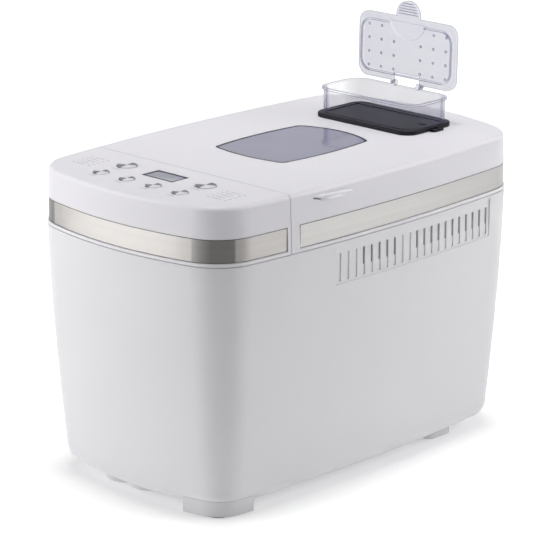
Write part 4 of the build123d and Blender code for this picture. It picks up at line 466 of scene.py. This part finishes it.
# Trim band: a painted shadow line all round each stretch of it, a dark strip where it meets the white
# plastic
BAND_INSET = 1.2
BAND_BOTTOM = 243.9
BAND_TOP = 265.6
# Each stretch's ends along Y, and the width of the line across its ends
BAND_STRETCHES = {"base": (-230.0, -125.0, 0.4), "lid": (-110.0, 207.0, 1.1)}
LINE_WIDTH = 0.6
LOWER_LINE_WIDTH = 0.3
LINE_DEPTH = 0.12
BAND_STEPS = 60


def band_shadow_lines(low, high, end_width):
    """Painted shadow lines above and below the band between two places along Y, and across its ends."""
    def build(shape):
        line_low = BAND_BOTTOM + LOWER_LINE_WIDTH
        line_high = BAND_TOP - LINE_WIDTH
        for run in runs_between(bowed_outline(*PLAN, grow=-BAND_INSET, steps=BAND_STEPS), low, high):
            add_strip(shape, run, LINE_DEPTH, line_high, BAND_TOP)
            add_strip(shape, run, LINE_DEPTH, BAND_BOTTOM, line_low)
            for first, second in ((run[0], run[1]), (run[-1], run[-2])):
                reach = first.lerp(second, end_width / (second - first).length)
                ends = [first, reach] if first is run[0] else [reach, first]
                add_strip(shape, ends, LINE_DEPTH, line_low, line_high)
    return build


for band_body, stretch in BAND_STRETCHES.items():
    add_piece(band_body + "_band_shadow_lines", band_shadow_lines(*stretch), band_body, PAINTED_SHADOW_DARK)

# Thumb lips: a rounded rib along each one, with a painted shadow, a dark strip, under its front end. The
# ends are places along Y and Z on the lid's side, which leans in by SIDE_LEAN from the seam to the top.
SEAM_Z = 240.0
SIDE_LEAN = 1.9
RIB_STEPS = 24
RIB_TURNS = 12
RIB_ENDS = ((-91.0, 287.6), (-43.0, 285.0))
RIB_REACH = 2.2
RIB_HALF = 1.6
LIP_SHADOW_ENDS = ((-94.0, 286.8), (-79.0, 283.2))
LIP_SHADOW_REACH = 0.2
LIP_SHADOW_HALF = 0.8


def lid_side(y, z):
    """How far out the lid's side wall lies."""
    half_width, front, rear, bows, corner = PLAN
    half_chord = (rear - front) / 2 - corner - (bows[1] + bows[2]) / 2
    lean = SIDE_LEAN * (z - SEAM_Z) / (TOP_Z - SEAM_Z)
    return half_width - lean - bows[0] * (y / half_chord) ** 2


def side_ribs(ends, reach, half):
    """A rib along each side of the lid between two places, thin at its ends."""
    def build(shape):
        (front, front_z), (rear, rear_z) = ends
        turns = [2 * math.pi * turn / RIB_TURNS for turn in range(RIB_TURNS)]
        for side in (-1, 1):
            loops = []
            for step in range(RIB_STEPS + 1):
                along = step / RIB_STEPS
                y = front + (rear - front) * along
                z = front_z + (rear_z - front_z) * along
                swell = min(1.0, 0.2 + 2.5 * math.sqrt(along * (1 - along)))
                wall = lid_side(y, z)
                loops.append([(side * (wall + reach * swell * math.cos(turn)), y,
                               z + half * swell * math.sin(turn)) for turn in turns])
            add_capped(shape, loops)
    return build


add_piece("lip_ribs", side_ribs(RIB_ENDS, RIB_REACH, RIB_HALF), "lid", WHITE_PAINTED_LIGHTER,
          smooth=True)
# Painted shadow: dark strips under the front ends of the lips
add_piece("lip_painted_shadows", side_ribs(LIP_SHADOW_ENDS, LIP_SHADOW_REACH, LIP_SHADOW_HALF), "lid",
          PAINTED_SHADOW_DARK, smooth=True)

# Window: a dark printed border round the tinted glass
GLASS_TOP = 294.8
WINDOW = (49.5, -51.0, 83.0, (4.0, 4.5, 9.5), 7.0)
BORDER_OUTER = -0.2
BORDER_INNER = -2.6
BORDER_RISE = 0.12


def window_border(shape):
    add_ring(shape, bowed_outline(*WINDOW, grow=BORDER_OUTER), bowed_outline(*WINDOW, grow=BORDER_INNER),
             GLASS_TOP - SINK, GLASS_TOP + BORDER_RISE)


add_piece("window_border", window_border, "lid", BORDER_DARK)

# Display: a dark frame round the lens. The lens is given as its middle, width and length.
DISPLAY = ((0.0, -152.2), 40.4, 22.6)
DISPLAY_TOP = 294.7
FRAME_FIT = 0.3
FRAME_OPENING = 5.6
FRAME_RISE = 0.15


def display_frame(shape):
    middle, width, length = DISPLAY
    add_ring(shape, rounded_rectangle(middle, width - FRAME_FIT, length - FRAME_FIT, 1.2),
             rounded_rectangle(middle, width - FRAME_OPENING, length - FRAME_OPENING, 0.5),
             DISPLAY_TOP - SINK, DISPLAY_TOP + FRAME_RISE)


add_piece("display_frame", display_frame, "base", BORDER_DARK)

# Buttons: a fine collar on the panel round each of them. A button is given as its middle and radius.
COLLAR_INNER = 0.35
COLLAR_OUTER = 1.25
COLLAR_RISE = 0.14
BUTTONS = {
    "menu": ((-51.15, -183.6), 7.4), "loaf": ((-17.05, -183.6), 7.4),
    "colour": ((17.05, -183.6), 7.4), "light": ((51.15, -183.6), 7.4),
    "timer": ((-51.15, -151.3), 9.6), "start": ((51.15, -151.3), 9.6),
}


def button_collars(shape):
    for middle, radius in BUTTONS.values():
        add_ring(shape, circle(middle, radius + COLLAR_OUTER), circle(middle, radius + COLLAR_INNER),
                 TOP_Z - SINK, TOP_Z + COLLAR_RISE)


add_piece("button_collars", button_collars, "base", WHITE_PAINTED_LIGHTER)

# Faint generic marks: rows of short bars where the product has printed lists and labels
LIST_ROWS = 5
LIST_Y = -150.0
LIST_PITCH = 6.0
LIST_X = 88.0
LIST_HALF = 12.5
LABEL_GAP = 4.2


def add_mark(shape, middle, length):
    add_slab(shape, rounded_rectangle(middle, length, 0.9, 0.4), TOP_Z - 0.03, TOP_Z + 0.05, 0.1)


def panel_marks(shape):
    for right in (-1, 1):
        for row in range(LIST_ROWS):
            y = LIST_Y - LIST_PITCH * row
            for start, length in ((0.0, 3.2), (5.0, 13.0 - 2.0 * (row % 2)), (20.6, 4.4)):
                add_mark(shape, (right * LIST_X - LIST_HALF + start + length / 2, y), length)
    for (x, y), radius in BUTTONS.values():
        add_mark(shape, (x, y - radius - LABEL_GAP), radius * 1.3)


add_piece("panel_marks", panel_marks, "base", PRINT_GREY)

# Clear dispenser lid: moulded pips on its inner face and grip ribs on its tab
LID_ORIGIN = Vector((0.0, 176.3, 325.0))
LID_LEAN = math.radians(1.5)
LID_UP = Vector((0.0, math.sin(LID_LEAN), math.cos(LID_LEAN)))
LID_OUT = Vector((0.0, -math.cos(LID_LEAN), math.sin(LID_LEAN)))
LID_INNER = 1.3
PIP_COLUMNS = (-49.5, -33.5, -17.2, 17.2, 33.5, 49.5)
PIP_ROWS = (12.6, 26.2, 39.8, 53.4)
PIP_RADIUS = 1.6
# A pip's heights, each with its share of the radius
PIP_PROFILE = ((-SINK, 1.0), (0.35, 0.92), (0.7, 0.62), (0.9, 0.25))
# The thumb tab leaves no room for pips in the middle columns above this height
TAB_HALF = 20.0
TAB_BOTTOM = 44.0


def on_lid(x, up, out):
    """A place on the clear lid, given across it, up it and out from it."""
    return Vector((x, 0, 0)) + LID_ORIGIN + LID_UP * up + LID_OUT * out


def lid_pips(shape):
    for x in PIP_COLUMNS:
        for up in PIP_ROWS:
            if abs(x) < TAB_HALF and up > TAB_BOTTOM:
                continue
            loops = []
            for out, share in PIP_PROFILE:
                loops.append([on_lid(x + dx, up + dy, LID_INNER + out)
                              for dx, dy in circle((0, 0), PIP_RADIUS * share, 16)])
            add_capped(shape, loops)


add_piece("lid_pips", lid_pips, "dispenser_lid", CLEAR_LID, smooth=True)

TAB_CENTRE = 67.5
TAB_RADIUS = 15.0
TAB_RIB_ROWS = (69.0, 71.6, 74.2, 76.8, 79.4)
TAB_RIB_MARGIN = 2.6


def tab_ribs(shape):
    for up in TAB_RIB_ROWS:
        half = math.sqrt(TAB_RADIUS ** 2 - (up - TAB_CENTRE) ** 2) - TAB_RIB_MARGIN
        loops = []
        for x in (-half, -half + 0.5, half - 0.5, half):
            tall = 0.2 if abs(x) == half else 0.7
            loops.append([on_lid(x, up + dy, LID_INNER + out)
                          for dy, out in ((-0.55, -SINK), (0.55, -SINK), (0.3, tall), (-0.3, tall))])
        add_capped(shape, loops)


add_piece("tab_ribs", tab_ribs, "dispenser_lid", CLEAR_LID)


# Stage: floor, light and camera -----------------------------------------------

def make_floor():
    shape = bmesh.new()
    bmesh.ops.create_grid(shape, x_segments=8, y_segments=8, size=12.0)
    mesh = bpy.data.meshes.new("floor")
    shape.to_mesh(mesh)
    shape.free()
    mesh.materials.append(surface("pale_floor", (0.93, 0.93, 0.935), (0.955, 0.955, 0.955),
                                  (0.6, 0.7), cloud=3.0, grain=60.0, depth=1e-5,
                                  Emission_Color=(1, 1, 1, 1), Emission_Strength=0.25))
    floor = bpy.data.objects.new("floor", mesh)
    bpy.context.scene.collection.objects.link(floor)


def add_light(name, kind, place, aim, power, **settings):
    data = bpy.data.lights.new(name, kind)
    data.energy = power
    for key, value in settings.items():
        setattr(data, key, value)
    light = bpy.data.objects.new(name, data)
    light.location = place
    light.rotation_euler = (Vector(aim) - Vector(place)).to_track_quat("-Z", "Y").to_euler()
    bpy.context.scene.collection.objects.link(light)


make_floor()
add_light("overhead", "AREA", (-0.94, 0.97, 3.0), (-0.94, 0.97, 0), 20, shape="DISK", size=3.6,
          spread=math.radians(25))
add_light("front_box", "AREA", (-1.9, -2.3, 1.0), (0, -0.1, 0.15), 52, shape="RECTANGLE",
          size=2.7, size_y=1.8)
add_light("side_box", "AREA", (1.6, 1.55, 1.4), (0, 0.1, 0.2), 24, shape="RECTANGLE",
          size=1.55, size_y=1.12)
add_light("back_box", "AREA", (-2.0, 2.2, 0.75), (0, 0, 0.25), 6, shape="RECTANGLE",
          size=3.2, size_y=1.0)

world = bpy.data.worlds.new("studio")
world.use_nodes = True
world.node_tree.nodes["Background"].inputs["Color"].default_value = (0.95, 0.96, 1.0, 1)
world.node_tree.nodes["Background"].inputs["Strength"].default_value = 0.08
bpy.context.scene.world = world
bpy.context.scene.view_settings.view_transform = "Standard"

AZIMUTH = math.radians(43.93)
ELEVATION = math.radians(16.73)
camera_data = bpy.data.cameras.new("camera")
camera_data.sensor_width = 36.0
camera_data.lens = 197.46
camera = bpy.data.objects.new("camera", camera_data)
camera.location = (1.90059, -1.98216, 0.99414)
back = Vector((math.sin(AZIMUTH) * math.cos(ELEVATION), -math.cos(AZIMUTH) * math.cos(ELEVATION),
               math.sin(ELEVATION)))
camera.rotation_euler = (-back).to_track_quat("-Z", "Y").to_euler()
bpy.context.scene.collection.objects.link(camera)
bpy.context.scene.camera = camera
